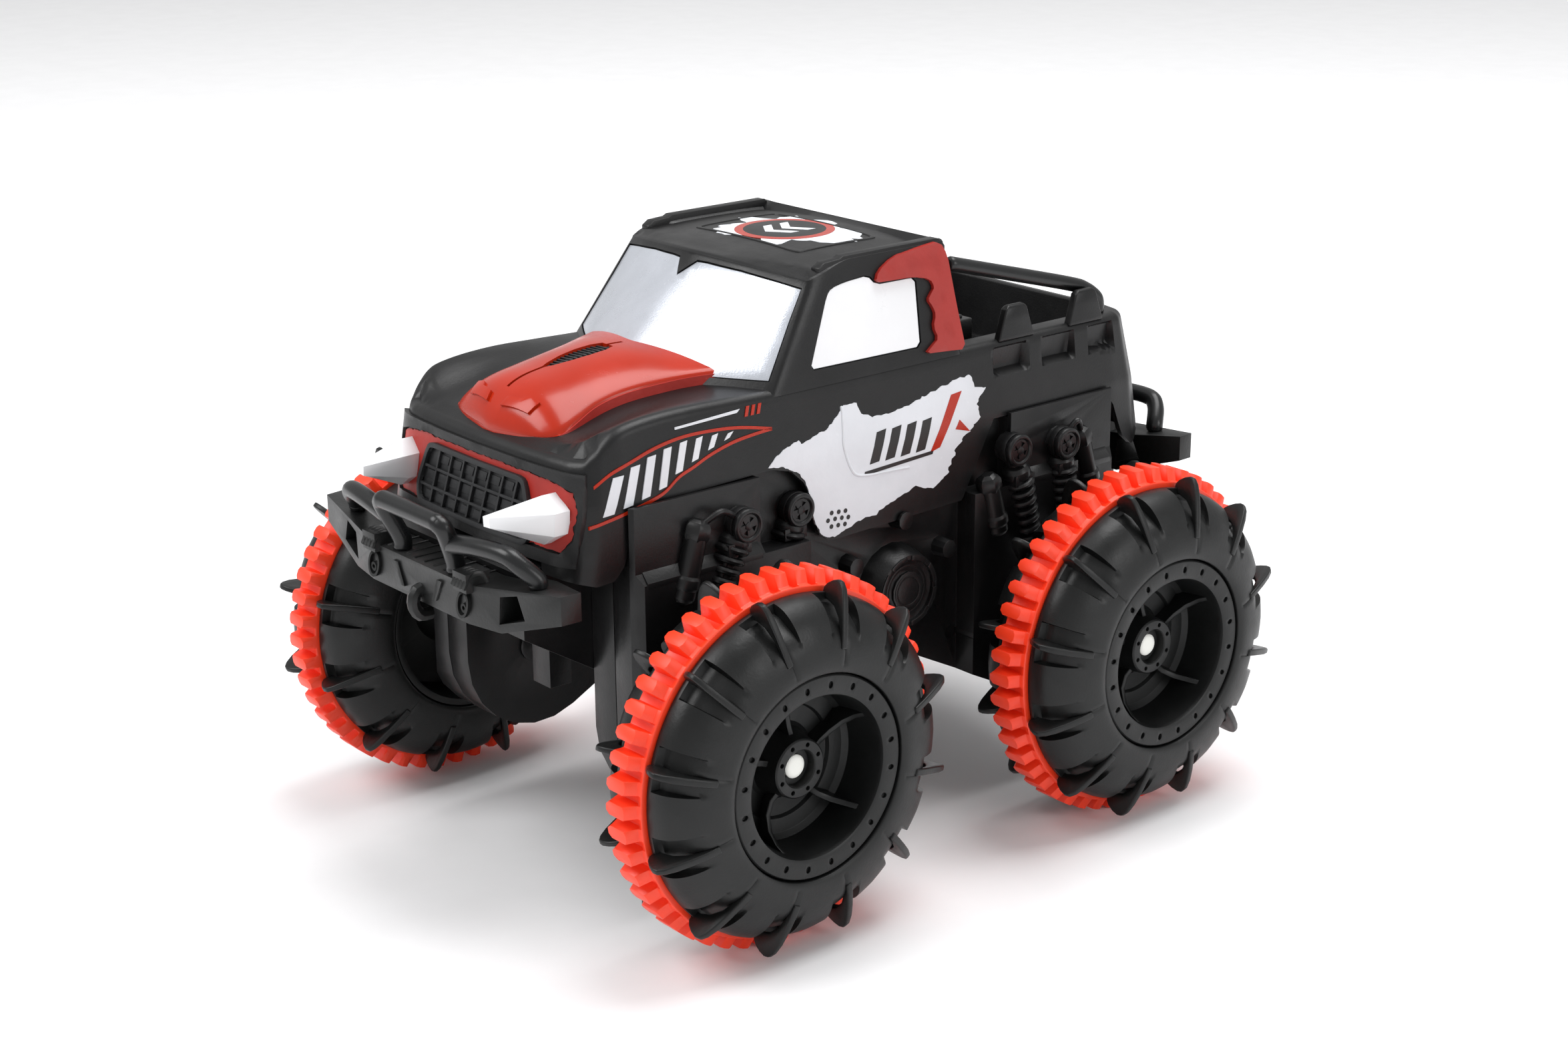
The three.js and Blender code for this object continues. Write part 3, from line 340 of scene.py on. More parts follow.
def slab(surface, outline, low, high, holes=(), step=3.0):
    """A plate that follows a surface, between two heights above it."""
    verts, faces = fill([resample(loop, step) for loop in (outline, *holes)], step)
    used = sorted({i for face in faces for i in face})
    index = {old: new for new, old in enumerate(used)}
    verts = [verts[i] for i in used]
    faces = [tuple(index[i] for i in face) for face in faces]
    layers = [[], []]
    for a, b in verts:
        here = Vector(surface(a, b))
        du = Vector(surface(a + 0.05, b)) - here
        dv = Vector(surface(a, b + 0.05)) - here
        normal = du.cross(dv).normalized()
        for layer, height in zip(layers, (low, high)):
            layer.append(here + normal * height)
    n = len(verts)
    seen = {}
    for face in faces:
        for i in range(3):
            edge = (face[i], face[(i + 1) % 3])
            if tuple(reversed(edge)) in seen:
                del seen[tuple(reversed(edge))]
            else:
                seen[edge] = True
    bottom = [tuple(reversed(face)) for face in faces]
    top = [tuple(i + n for i in face) for face in faces]
    return layers[0] + layers[1], bottom + top + [(a, b, b + n, a + n) for a, b in seen]


def tube(points, radius, sides=14, per_span=5):
    """A round bar along a smooth path, with domed ends."""
    path = through(points, per_span)
    up = Vector((0.13, 0.27, 0.95))
    rows = []
    last = len(path) - 1

    def direction(i):
        return (path[min(i + 1, last)] - path[max(i - 1, 0)]).normalized()

    for i, here in enumerate(path):
        side = direction(i).cross(up).normalized()
        up = side.cross(direction(i)).normalized()
        rows.append([here + (side * cos(t) + up * sin(t)) * radius for t in angles(sides)])

    def dome(i, sign):
        along = direction(i) * sign
        return [[path[i] + (p - path[i]) * share + along * radius * reach for p in rows[i]]
                for share, reach in ((0.82, 0.3), (0.45, 0.5))]
    return loft(list(reversed(dome(0, -1))) + rows + dome(last, 1), caps=True)


def block(x0, x1, y0, y1, z0, z1):
    corners = [Vector((x, y, z)) for x in (x0, x1) for y in (y0, y1) for z in (z0, z1)]
    faces = [(0, 1, 3, 2), (4, 6, 7, 5), (0, 4, 5, 1), (2, 3, 7, 6), (0, 2, 6, 4), (1, 5, 7, 3)]
    return corners, faces


def prism(points, low, high, axis="x"):
    """A flat outline given depth: [y, z] along x or [x, z] along y."""
    def place(depth, a, b):
        return Vector((depth, a, b) if axis == "x" else (a, depth, b))
    return loft([[place(depth, *p) for p in points] for depth in (low, high)], caps=True)


def turn_outward(work):
    """Turns over every separate body whose faces all point inward."""
    waiting = set(work.faces)
    for first in list(work.faces):
        if first not in waiting:
            continue
        waiting.remove(first)
        body, front = [], [first]
        while front:
            face = front.pop()
            body.append(face)
            for edge in face.edges:
                for other in edge.link_faces:
                    if other in waiting:
                        waiting.remove(other)
                        front.append(other)
        middle = body[0].calc_center_median()
        volume = 0
        for face in body:
            volume += (face.calc_center_median() - middle).dot(face.normal) * face.calc_area()
        if volume < 0:
            bmesh.ops.reverse_faces(work, faces=body)


def tidy_mesh(data, merge_distance=SAME_POINT):
    work = bmesh.new()
    work.from_mesh(data)
    bmesh.ops.remove_doubles(work, verts=work.verts, dist=merge_distance)
    bmesh.ops.recalc_face_normals(work, faces=work.faces)
    turn_outward(work)
    work.to_mesh(data)
    work.free()


def add_object(name, data):
    obj = bpy.data.objects.new(name, data)
    bpy.context.scene.collection.objects.link(obj)
    return obj


def join(obj, other):
    """Puts the mesh of another object into the first and removes the other."""
    work = bmesh.new()
    work.from_mesh(obj.data)
    work.from_mesh(other.data)
    work.to_mesh(obj.data)
    work.free()
    bpy.data.objects.remove(other)


def bake(obj):
    bpy.context.view_layer.update()
    graph = bpy.context.evaluated_depsgraph_get()
    data = bpy.data.meshes.new_from_object(obj.evaluated_get(graph))
    obj.modifiers.clear()
    obj.data = data
    return obj


def bevel(obj, width, segments=2, angle=30):
    step = obj.modifiers.new("bevel", "BEVEL")
    step.width = width * MM
    step.segments = segments
    step.limit_method = "ANGLE"
    step.angle_limit = radians(angle)
    step.use_clamp_overlap = True
    return bake(obj)


def shade(data, angle):
    data.shade_smooth()
    data.set_sharp_from_angle(angle=radians(angle))


def mesh_of(name, part, local=False, merge_distance=SAME_POINT):
    verts = [tuple(Vector(p) * MM) if local else tuple(P(*p)) for p in part[0]]
    data = bpy.data.meshes.new(name)
    data.from_pydata(verts, [], part[1])
    tidy_mesh(data, merge_distance)
    return data


def raw(name, part, local=False):
    return add_object(name, mesh_of(name, part, local))


def dress(obj, material, nodes=(), angle=35):
    shade(obj.data, angle)
    obj.data.materials.clear()
    obj.data.materials.append(material)
    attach(obj, "chassis")
    if nodes:
        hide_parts(*nodes)
    return obj


def piece(name, part, material, slot, nodes=(), width=0.0, segments=2, angle=35):
    obj = raw(name, part)
    if width:
        bevel(obj, width, segments)
    return dress(obj, material, nodes, angle=angle)


def pair(name, part, material, slot, node=None, **look):
    """A piece on the left side and its mirror image on the right."""
    for side, own in (("left", part), ("right", flip(part))):
        piece(f"{side}_{name}", own, material, slot, [f"{side}_{node}"] if node else (), **look)


def refined(node, material, width, segments=2, extra=None, flats=True):
    """The CAD solid with rounded edges and added detail; flats first merges its flat facets."""
    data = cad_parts[node].data.copy()
    work = bmesh.new()
    work.from_mesh(data)
    bmesh.ops.remove_doubles(work, verts=work.verts, dist=SAME_POINT)
    if flats:
        bmesh.ops.dissolve_limit(work, angle_limit=radians(4), verts=work.verts, edges=work.edges)
    work.to_mesh(data)
    work.free()
    obj = add_object(node + "_skin", data)
    bevel(obj, width, segments)
    if extra:
        add_to(obj, extra)
    return dress(obj, material, [node])


def add_to(obj, part, width=0.25):
    """Joins more geometry into a piece, with its own small bevel."""
    join(obj, bevel(raw(obj.name + "_more", part), width, 2))


def cut(obj, tool_part, local=False):
    tool = raw(obj.name + "_tool", tool_part, local)
    step = obj.modifiers.new("cut", "BOOLEAN")
    step.operation = "DIFFERENCE"
    step.solver = "EXACT"
    step.object = tool
    bake(obj)
    bpy.data.objects.remove(tool)
    return obj


# ---- wheels
# Wheel profiles are (u, radius) pairs; u runs along the axle, from the middle of the car.
LUGS = 48
FINS = 12
FIN_TURN, FIRST_FIN = 30, 15  # degrees
FIN_HALF = 6.9  # half of the sector pressed in round a fin
RIM_SIDES, NUT_SIDES, DRILL_SIDES = 120, 40, 14


def polar(u, degrees, radius):
    return Vector((u, radius * cos(radians(degrees)), radius * sin(radians(degrees))))


def tread_part():
    rows = []
    for lug in range(LUGS):
        for share in (-0.325, -0.275, -0.12, 0.12, 0.275, 0.325):
            degrees = -90 + (lug + share) * 360 / LUGS
            top = abs(share) < 0.3
            middle = abs(share) < 0.2
            start = 72.3 if middle else 73.6
            stop = 79.6 if middle else 78.9
            crown = [(72.1, 46.9), (start, 50.0), (stop, 50.0), (80.4, 46.7)]
            groove = [(72.1, 46.1), (73.0, 45.8), (79.6, 45.7), (80.4, 46.0)]
            stations = [(71.9, 41.5), (71.9, 45.8), *(crown if top else groove),
                        (81.6, 46.5), (81.8, 46.2), (81.8, 41.5)]
            rows.append([polar(u, degrees, r) for u, r in stations])
    return loft(rows, loop=True)


SHOULDER = [
    (82.1, 45.0), (83.2, 45.2), (85.3, 45.0), (87.6, 44.1), (89.8, 42.3), (91.7, 39.8), (93.1, 36.8),
    (94.1, 33.6), (94.65, 30.8), (94.7, 28.9), (94.3, 27.6), (93.8, 27.3),
]


def tyre_rows():
    """Outer profile of a tyre half as (u, radius, distance from the tread)."""
    dense = through([(u, r, 0) for u, r in SHOULDER], 4)
    out, run = [], 0.0
    for i, p in enumerate(dense):
        if i:
            run += (p - dense[i - 1]).length
        out.append((p.x, p.y, run))
    return out


def tyre_part():
    profile = tyre_rows()
    inner = [(92.0, 27.3), (90.0, 37.6), (86.6, 39.3), (77.0, 39.3), (77.0, 41.2), (82.1, 41.2)]
    half = (1.1, 3.0, 5.0, FIN_HALF, 7.4, 8.4, 10, 12.4)
    offsets = [-15] + [-offset for offset in reversed(half)] + [0, *half]
    rows = []
    for fin in range(FINS):
        for offset in offsets:
            degrees = FIRST_FIN + fin * FIN_TURN + offset
            near = 1 - smooth((abs(offset) - FIN_HALF) / 0.5)
            row = []
            for i, (u, r, run) in enumerate(profile):
                before, after = profile[max(i - 1, 0)], profile[min(i + 1, len(profile) - 1)]
                length = hypot(after[0] - before[0], after[1] - before[1])
                normal = ((before[1] - after[1]) / length, (after[0] - before[0]) / length)
                start = smooth((run - 1.5) / 0.7)
                fade = 1 - smooth((run - 6.5) / 11)
                depth = -2.6 * near * start * fade
                wave = 0.35 * cos(radians(offset * 6)) * -0.5
                depth += wave * smooth(run / 4) * (1 - smooth((run - 13) / 8))
                if offset == 0 and 13 < run < 23:
                    depth -= 0.32
                row.append(polar(u + normal[0] * depth, degrees, r + normal[1] * depth))
            rows.append(row + [polar(u, degrees, r) for u, r in inner])
    return loft(rows, loop=True)


def fins_part():
    outer = [(82.4, 46.3), (83.4, 47.5), (85.2, 48.6), (87.0, 49.2), (88.5, 49.0), (89.9, 47.6),
             (91.2, 44.9), (92.6, 41.0), (93.8, 36.9), (94.6, 33.4)]
    base = [(93.4, 33.0), (92.2, 36.6), (90.3, 40.2), (87.6, 42.6), (84.6, 43.5), (82.4, 43.4)]
    outline = outer + base
    parts = []
    for fin in range(FINS):
        sides = []
        for half in (-1, 1):
            row = []
            for u, r in outline:
                swing = 1.5 * ((u - 82.4) / 12) ** 2
                thick = 0.95 if r < 46 else 0.75
                degrees = FIRST_FIN + fin * FIN_TURN + swing + half * thick / r * 180 / pi
                row.append(polar(u, degrees, r))
            sides.append(row)
        parts.append(loft(sides, caps=True))
    return merge(*parts)


def lathe(profile, segments):
    rows = [[polar(u, 360 * i / segments, r) for u, r in profile] for i in range(segments)]
    return loft(rows, loop=True)


def drill(u0, u1, degrees, radius, size, stretch=1.0):
    """A rod along the axle that cuts a hole; stretch makes it longer along the radius."""
    centre, out = polar(0, degrees, radius), polar(0, degrees, 1)
    across = Vector((0, -out.z, out.y))
    rows = [[Vector((u, 0, 0)) + centre + out * size * stretch * cos(t) + across * size * sin(t)
             for t in angles(DRILL_SIDES)] for u in (u0, u1)]
    return loft(rows, caps=True)


def rim_piece():
    back = 2 * TREAD_MIDDLE - 93.7
    profile = [
        (back, 25), (back, 26.9), (93.3, 26.9), (93.75, 26.5), (93.8, 22.3), (93.4, 21.6), (92.4, 21.2),
        (86.0, 20.9), (81.4, 20.4), (80.0, 19.2), (79.7, 15.4), (78.6, 14.9), (78.4, 10.4), (79.2, 9.4),
        (82.2, 8.4), (86.0, 7.9), (86.4, 7.5), (86.4, 5.2), (86.1, 4.85), (83.5, 4.85), (83.5, 2.75),
        (68, 2.75), (68, 8), (74.6, 11.5), (76.2, 24.6),
    ]
    obj = raw("rim_master", lathe(profile, RIM_SIDES), local=True)
    holes = [drill(92.9, 95, 9 + 18 * i, 24.2, 0.72, stretch=1.35) for i in range(20)]
    holes += [drill(85.2, 88, 22.5 + 45 * i, 6.4, 0.62) for i in range(8)]
    cut(obj, merge(*holes), local=True)
    bevel(obj, 0.16, 2, 42)
    # (radius, u) points of a spoke
    rib = [(7.0, 78.0), (7.0, 83.4), (10.5, 82.4), (14.0, 82.6), (17.5, 84.4), (20.0, 87.4), (21.4, 90.6),
           (21.4, 79.4), (15.0, 78.2)]
    ribs = []
    for i in range(5):
        sides = []
        for half in (-1, 1):
            row = []
            for r, u in rib:
                degrees = 90 + 72 * i + 13 * ((r - 7.0) / 14) ** 1.6
                row.append(polar(u, degrees + half * 0.75 / r * 180 / pi, r))
            sides.append(row)
        ribs.append(loft(sides, caps=True))
    join(obj, bevel(raw("ribs_master", merge(*ribs), local=True), 0.22, 2))
    return obj


def build_wheels():
    tread = bevel(raw("tread_master", tread_part(), local=True), 0.2, 2, 28)
    tyre = raw("tyre_master", tyre_part(), local=True)
    fins = bevel(raw("fins_master", fins_part(), local=True), 0.42, 3, 35)
    join(tyre, fins)
    inner = tyre.data.copy()
    inner.transform(Matrix.Translation((2 * TREAD_MIDDLE * MM, 0, 0)) @ Matrix.Scale(-1, 4, (1, 0, 0)))
    inner.flip_normals()
    rim = rim_piece()
    nut_profile = [(83.55, 0.02), (83.55, 3.1), (84.2, 3.1), (84.6, 2.7), (84.75, 1.8), (84.8, 0.02)]
    nut = raw("nut_master", lathe(nut_profile, NUT_SIDES), local=True)
    masters = [
        ("tread_ring", tread.data, TREAD_RED, "tread_rubber", 30),
        ("tyre_outer_half", tyre.data, TYRE_BLACK, "tyre_plastic", 38),
        ("tyre_inner_half", inner, TYRE_BLACK, "tyre_plastic", 38),
        ("rim", rim.data, RIM_BLACK, "rim_plastic", 32),
        ("hub_nut", nut.data, NYLON, "white_nylon", 40),
    ]
    for _, data, material, _, angle in masters:
        shade(data, angle)
        data.materials.clear()
        data.materials.append(material)
    for master in (tread, tyre, rim, nut):
        bpy.data.objects.remove(master)
    for side, spin in (("left", 0), ("right", pi)):
        for end, y in (("front", -AXLE_Y), ("rear", AXLE_Y)):
            for part, data, _, slot, _ in masters:
                node = f"{end}_{side}_{part}"
                obj = add_object(node + "_skin", data)
                obj.matrix_world = Matrix.Translation(P(0, y, 0)) @ Matrix.Rotation(spin, 4, "Z")
                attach(obj, f"{end}_{side}_wheel")
                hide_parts(node)


# ---- shell surfaces
BELT_Z = 84.0
SKIN = 1.6
HALF_PLAN = [
    (0, -104.4), (18, -104.0), (30, -103.2), (37, -102.2), (41.4, -99.8), (43.6, -95.5), (45.4, -86),
    (46.2, -66), (46.2, 70), (45.9, 90), (45.2, 100), (42, 105.4), (36, 106.7), (0, 106.8),
]
flank = curve([
    (-98, 42.6), (-95.5, 43.6), (-86, 45.4), (-66, 46.2), (0, 46.2), (70, 46.2), (90, 45.9),
    (100, 45.2),
])
crest = curve([
    (-104, 75.4), (-100.5, 75.7), (-98.9, 76.7), (-94.8, 79.4), (-88.5, 82.4), (-79.6, 84.2),
    (-67, 84.9), (-52.7, 84.6), (-37, 84.1), (-25, 84.0), (120, 84.0),
])
valley = curve([
    (-104, 75.0), (-99, 75.5), (-96, 76.6), (-88, 78), (-80, 79.6), (-70, 81.6), (-60, 83), (-50, 84.1),
    (-36.5, 84.6), (-25, 84.0), (120, 84.0),
])


def side_inset(z):
    return 0.11 * max(0, z - 64)


def front_inset(z):
    return 0.6 + 0.159 * max(-4, z - 46.2)


def rear_inset(z):
    return 1.2 + 0.179 * max(-4, z - 47)


def lean(x, y, z):
    """Where a point of the lowest outline stands at height z: the sides and ends lean inward."""
    inward = front_inset(z) * smooth((-y - 84) / 19) if y < 0 else -rear_inset(z) * smooth((y - 84) / 21)
    side = side_inset(z) * smooth(abs(x) / 40)
    return x - side if x > 0 else x + side, y + inward


def left_side(y, z):
    foot = y
    for _ in range(4):
        foot = y - (lean(0, foot, z)[1] - foot)
    return (flank(foot) - side_inset(z), y, z)


nose_plan = curve([
    (0, -104.4), (18, -104.0), (30, -103.2), (37, -102.2), (41.4, -99.8),
])


def front_face(x, z):
    return (x, nose_plan(abs(x)) + front_inset(z), z)


def hood_height(x, y):
    share = smooth((abs(x) - 28) / 14)
    return lerp(valley(y), crest(y), share)


LOWER_EDGE = [
    (-106, 46.4), (-103.8, 46.2), (-95, 43.8), (-90, 44.6), (-87, 48.5), (-85.8, 55), (-83.4, 59),
    (-79, 62), (-73, 63.2), (-40, 64), (-33.4, 62.2), (-29, 58.2), (-26.4, 53), (-25.3, 46.4),
    (-23.6, 42.6), (-20.5, 40.4), (-16.5, 40.2), (28.7, 41.2), (40.4, 62.6), (83, 62.6), (86.5, 61.4),
    (90, 57.5), (94.5, 47.5), (98.9, 43.8), (104, 47), (108, 47),
]


def edge_height(y):
    for (y0, z0), (y1, z1) in zip(LOWER_EDGE, LOWER_EDGE[1:]):
        if y0 <= y <= y1:
            return lerp(z0, z1, (y - y0) / (y1 - y0))
    return LOWER_EDGE[0][1]


def plan_loop():
    """The closed outline of the shell as (x, y, normal x, normal y), starting at the nose centre."""
    half = resample(HALF_PLAN, 0.8, closed=False)
    for _ in range(3):
        half = [half[0]] + [
            tuple((half[i - 1][k] + 2 * half[i][k] + half[i + 1][k]) / 4 for k in (0, 1))
            for i in range(1, len(half) - 1)
        ] + [half[-1]]
    loop = half + [(-x, y) for x, y in reversed(half[1:-1])]
    out = []
    for i, (x, y) in enumerate(loop):
        before, after = loop[i - 1], loop[(i + 1) % len(loop)]
        length = hypot(after[0] - before[0], after[1] - before[1])
        out.append((x, y, (after[1] - before[1]) / length, -(after[0] - before[0]) / length))
    return out


NOTCHES = (48.4, 67.0, 86.0)  # y of the pockets beside the bed
# Half width, least distance along y and edge height of the cut-outs at both ends.
END_GAP = (30.4, 90, 48.6)


def flank_dent(y, z):
    """Depth of the moulded pockets along the side of the bed."""
    dent = 0.0
    for centre in NOTCHES:
        across = 1 - smooth((abs(y - centre) - 5.9) / 0.8)
        tall = smooth((82.2 - z) / 0.7) * smooth((z - 74.0) / 1.6)
        deep = lerp(3.0, 1.1, min(1, max(0, (z - 75.5) / 6.5)))
        dent = max(dent, across * tall * deep)
    return dent


def belt_rows():
    """Closed loops up the wall of the shell and over its rounded top edge."""
    loop = plan_loop()
    fillet = 2.5
    wall_rows, fillet_rows = 26, 5
    rows = []
    for r in range(wall_rows + fillet_rows):
        row = []
        for x, y, nx, ny in loop:
            low = edge_height(y)
            if abs(x) < END_GAP[0] and abs(y) > END_GAP[1]:
                low = END_GAP[2]
            top = crest(y) if y > -99 or abs(x) > 34 else 75.5
            if r < wall_rows:
                z = lerp(low, top - fillet, r / (wall_rows - 1))
                extra = 0.0
            else:
                phi = radians(90 * (r - wall_rows + 1) / fillet_rows)
                z = top - fillet + fillet * sin(phi)
                extra = fillet * (1 - cos(phi))
            if abs(nx) > 0.9:
                extra += flank_dent(y, z)
            here = lean(x, y, z)
            row.append(Vector((here[0] - nx * extra, here[1] - ny * extra, z)))
        rows.append(row)
    return rows


BED = (-37.2, 37.2, 33.0, 95.5)  # x0, x1, y0, y1 of its opening
BED_FLOOR = 65.2
BED_HALF_X, BED_HALF_Y, BED_MIDDLE_Y = 37, 31, 64.2  # the bed narrows about this middle


def build_belt():
    rows = belt_rows()
    x0, x1, y0, y1 = BED
    opening = rounded([(x0, y0), (x1, y0), (x1, y1), (x0, y1)], 2)
    bed_rows = []
    for inward, z in ((0, BELT_Z), (0.25, BELT_Z - 0.25), (0.4, BELT_Z - 0.8), (0.9, BED_FLOOR + 1.2),
                      (1.3, BED_FLOOR + 0.3), (2.4, BED_FLOOR)):
        narrow_x, narrow_y = 1 - inward / BED_HALF_X, 1 - inward / BED_HALF_Y
        bed_rows.append([Vector((x * narrow_x, BED_MIDDLE_Y + (y - BED_MIDDLE_Y) * narrow_y, z))
                         for x, y in opening])
    bed = loft(bed_rows)
    bed[1].append(tuple(range(len(bed[0]) - len(opening), len(bed[0]))))
    part = merge(loft(rows), cover(rows, opening, hood_height, 2.6), bed)
    obj = add_object("body_shell_skin", mesh_of("body_shell_skin", part, merge_distance=2e-5))
    step = obj.modifiers.new("wall", "SOLIDIFY")
    step.thickness = SKIN * MM
    step.offset = -1
    bake(obj)
    foot, head = BED_FLOOR - 0.5, BED_FLOOR + 0.7
    ribs = [prism([(x - 1.1, foot), (x + 1.1, foot), (x + 0.7, head), (x - 0.7, head)], 36, 92.5, "y")
            for x in range(-30, 31, 6)]
    add_to(obj, merge(*ribs), 0.2)
    return dress(obj, SHELL_BLACK, ["body_shell"], angle=34)


# ---- cab
def glass_half(z):
    return 43 - (z - 84.9) * 0.2137


def cab_half(z):
    return lerp(44.0, 39.4, (z - 84) / 25)


def shield_y(f, z):
    centre = -50 + (z - 92) * 1.026
    corner = -36.5 + (z - 84.9) * 0.645
    return centre + (corner - centre) * abs(f) ** 1.45


def shield(f, z):
    return (f * glass_half(z), shield_y(f, z), z)


def pillar_y(z):
    return -34.3 + (z - 86.3) * 0.674


def cab_side(y, z):
    return (cab_half(z), y, z)


roof_line = curve([(-33, 112.2), (-28, 112.7), (-18, 113.5), (-4, 114.0), (10, 114.0), (22, 113.6),
                   (30, 112.7)])


def roof_height(x, y):
    return roof_line(y) - 1.7 * (abs(x) / 35) ** 2.2


def roof_top(x, y):
    return (x, y, roof_height(x, y))


CAB_FOOT, CAB_BACK = 82.6, 27.2  # lowest z; y where the rear corners start
BACK_CORNER, FRONT_CORNER = 3.4, 3.2


def rear_y(z):
    return 30.7 - (z - 84) * 0.09


def arc(a, b, c, t):
    """The point at share t of the way round a corner from a to b, bent towards c."""
    return a * (1 - t) ** 2 + c * 2 * t * (1 - t) + b * t ** 2


def cab_row(v, extra, lift):
    """One closed loop round the cab at the share v of its height, pulled in by extra."""
    row = []
    front, corner, flat, back = 40, 6, 24, 24
    for i in range(front + 1):
        f = -1 + 2 * i / front
        z = lerp(CAB_FOOT, 112.0 - 2.9 * abs(f) ** 1.6, v)
        row.append(Vector((f * (glass_half(z) - extra * 0.6), shield_y(f, z) + extra, z + lift)))
    half = []

    def z_side(share):
        return lerp(CAB_FOOT, lerp(109.1, 113.0, smooth(share * 3)), v)
    for i in range(1, corner + 1):
        t = i / corner
        z = z_side(t / 6)
        a = Vector((glass_half(z), shield_y(1, z), 0))
        b = Vector((cab_half(z), pillar_y(z) + FRONT_CORNER, 0))
        p = arc(a, b, Vector((cab_half(z) - 0.05, a.y + 0.6, 0)), t)
        half.append(Vector((p.x - extra * 0.8, p.y + extra * (1 - t), z + lift)))
    for i in range(1, flat + 1):
        t = i / flat
        z = z_side(1 / 6 + t)
        y = lerp(pillar_y(z) + FRONT_CORNER, CAB_BACK, t)
        half.append(Vector((cab_half(z) - extra, y, z + lift)))
    for i in range(1, corner + 1):
        t = i / corner
        z = lerp(CAB_FOOT, 112.9, v)
        a = Vector((cab_half(z), CAB_BACK, 0))
        b = Vector((cab_half(z) - BACK_CORNER, rear_y(z), 0))
        p = arc(a, b, Vector((cab_half(z), rear_y(z), 0)), t)
        half.append(Vector((p.x - extra * (1 - t), p.y - extra * t, z + lift)))
    z = lerp(CAB_FOOT, 112.8, v)
    span, y = cab_half(z) - BACK_CORNER, rear_y(z) - extra
    middle = [Vector((lerp(span, -span, i / back), y, z + lift)) for i in range(1, back)]
    return row + half + middle + [Vector((-p.x, p.y, p.z)) for p in reversed(half)]


SHIELD_SCALE = 40  # outline units to millimetres
SHIELD_OUTLINE = [
    (-0.97, 86.0), (0.97, 86.0), (0.975, 100), (0.985, 107.9), (0.8, 109.0), (0.5, 110.4), (0.2, 111.1),
    (0.1, 111.1), (0.0, 107.6), (-0.1, 111.1), (-0.2, 111.1), (-0.5, 110.4), (-0.8, 109.0),
    (-0.985, 107.9), (-0.975, 100),
]
SIDE_WINDOW = [
    (-13.7, 107.3), (-15.7, 105.5), (-24.4, 87.1), (15.3, 86.8), (16.2, 105.8), (2, 105.9),
    (-0.6, 108.7), (-8.5, 108.2),
]


def shield_mm(a, z):
    """The windshield surface with its first parameter in millimetres at the middle of the pane."""
    return shield(a / SHIELD_SCALE, z)


def build_cab():
    levels = [(i / 16, 0, 0) for i in range(17)]
    fillets = [(1, 1.4 * (1 - cos(radians(a))), 1.2 * sin(radians(a))) for a in (30, 60, 90)]
    rows = [cab_row(*level) for level in levels + fillets]
    part = loft(rows)
    bottom = tuple(reversed(range(len(rows[0]))))
    part[1].append(bottom)
    obj = raw("cab_skin", merge(part, cover(rows, None, roof_height, 2.4)))
    glass = [(a * SHIELD_SCALE, z) for a, z in SHIELD_OUTLINE]
    cut(obj, slab(shield_mm, glass, -0.8, 3, step=2.5))
    window = rounded(SIDE_WINDOW, 1)
    left = slab(cab_side, window, -0.9, 3, step=3)
    cut(obj, left)
    cut(obj, flip(left))
    dress(obj, SHELL_BLACK, angle=28)
    pane = slab(shield_mm, inset(glass, 0.35), -0.78, -0.25, step=2.5)
    piece("windshield_skin", pane, SILVER_PAINT, "silver_plastic", ["windshield"], width=0.14)
    pane = slab(cab_side, inset(window, 0.35), -0.88, -0.3, step=3)
    pair("side_window_skin", pane, WHITE_PLASTIC, "window_plastic", "side_window", width=0.14)
    rail = prism([(-17, 112.4), (-15, 113.7), (-9.6, 114.0), (-8.4, 114.6), (25.6, 114.6),
                  (27.6, 113.2), (28.4, 112.2), (28.4, 110), (-17, 110)], 35.2, 38.4)
    ring = [(-22.5, -11), (22.5, -11), (22.5, 18.5), (-22.5, 18.5)]
    frame_ring = slab(roof_top, rounded(ring), -0.3, 0.3, holes=[rounded(inset(ring, 1.1))], step=2.5)
    piece("roof_rails", merge(rail, flip(rail), frame_ring), SHELL_BLACK, "shell_plastic", width=0.3)


def inset(outline, by):
    """The outline moved inward, whichever way round it runs."""
    area = sum(a[0] * b[1] - b[0] * a[1] for a, b in zip(outline, outline[1:] + outline[:1]))
    sign = 1 if area > 0 else -1
    out = []
    for i, (x, y) in enumerate(outline):
        before, after = outline[i - 1], outline[(i + 1) % len(outline)]
        e0 = Vector((x - before[0], y - before[1])).normalized()
        e1 = Vector((after[0] - x, after[1] - y)).normalized()
        n0, n1 = Vector((-e0.y, e0.x)), Vector((-e1.y, e1.x))
        share = by * sign / max(0.35, 1 + n0.dot(n1))
        out.append((x + (n0.x + n1.x) * share, y + (n0.y + n1.y) * share))
    return out


# ---- hood bulge
bulge_line = curve([
    (-96.6, 77.2), (-96, 79.2), (-94.6, 81.8), (-92, 84.6), (-89, 86.7), (-85, 88.2), (-79, 89.3),
    (-68, 91.0), (-58, 91.8), (-50, 91.6), (-42, 91.4),
])
bulge_half = curve([
    (-96.6, 2.0), (-96.0, 6.0), (-95.2, 11.5), (-93.8, 17.2), (-91.8, 20.8), (-88.6, 22.4), (-84, 22.0),
    (-78, 20.8), (-72, 20.4), (-66, 20.9), (-60, 22.2), (-51, 25.0), (-42, 28.4),
])


BULGE_FRONT, WALL_FRONT, BULGE_BACK = -96.6, -90.0, -38.0


def bulge_height(x, y):
    side_top = valley(y) + 3.2 * smooth((y + 97) / 22)
    share = min(1, abs(x) / bulge_half(y))
    return lerp(bulge_line(y), side_top, share ** 2.5)


def along_bulge(y, step):
    """Evenly spaced places from y to the back of the bulge."""
    out = []
    while y <= BULGE_BACK:
        out.append(y)
        y += step
    return out


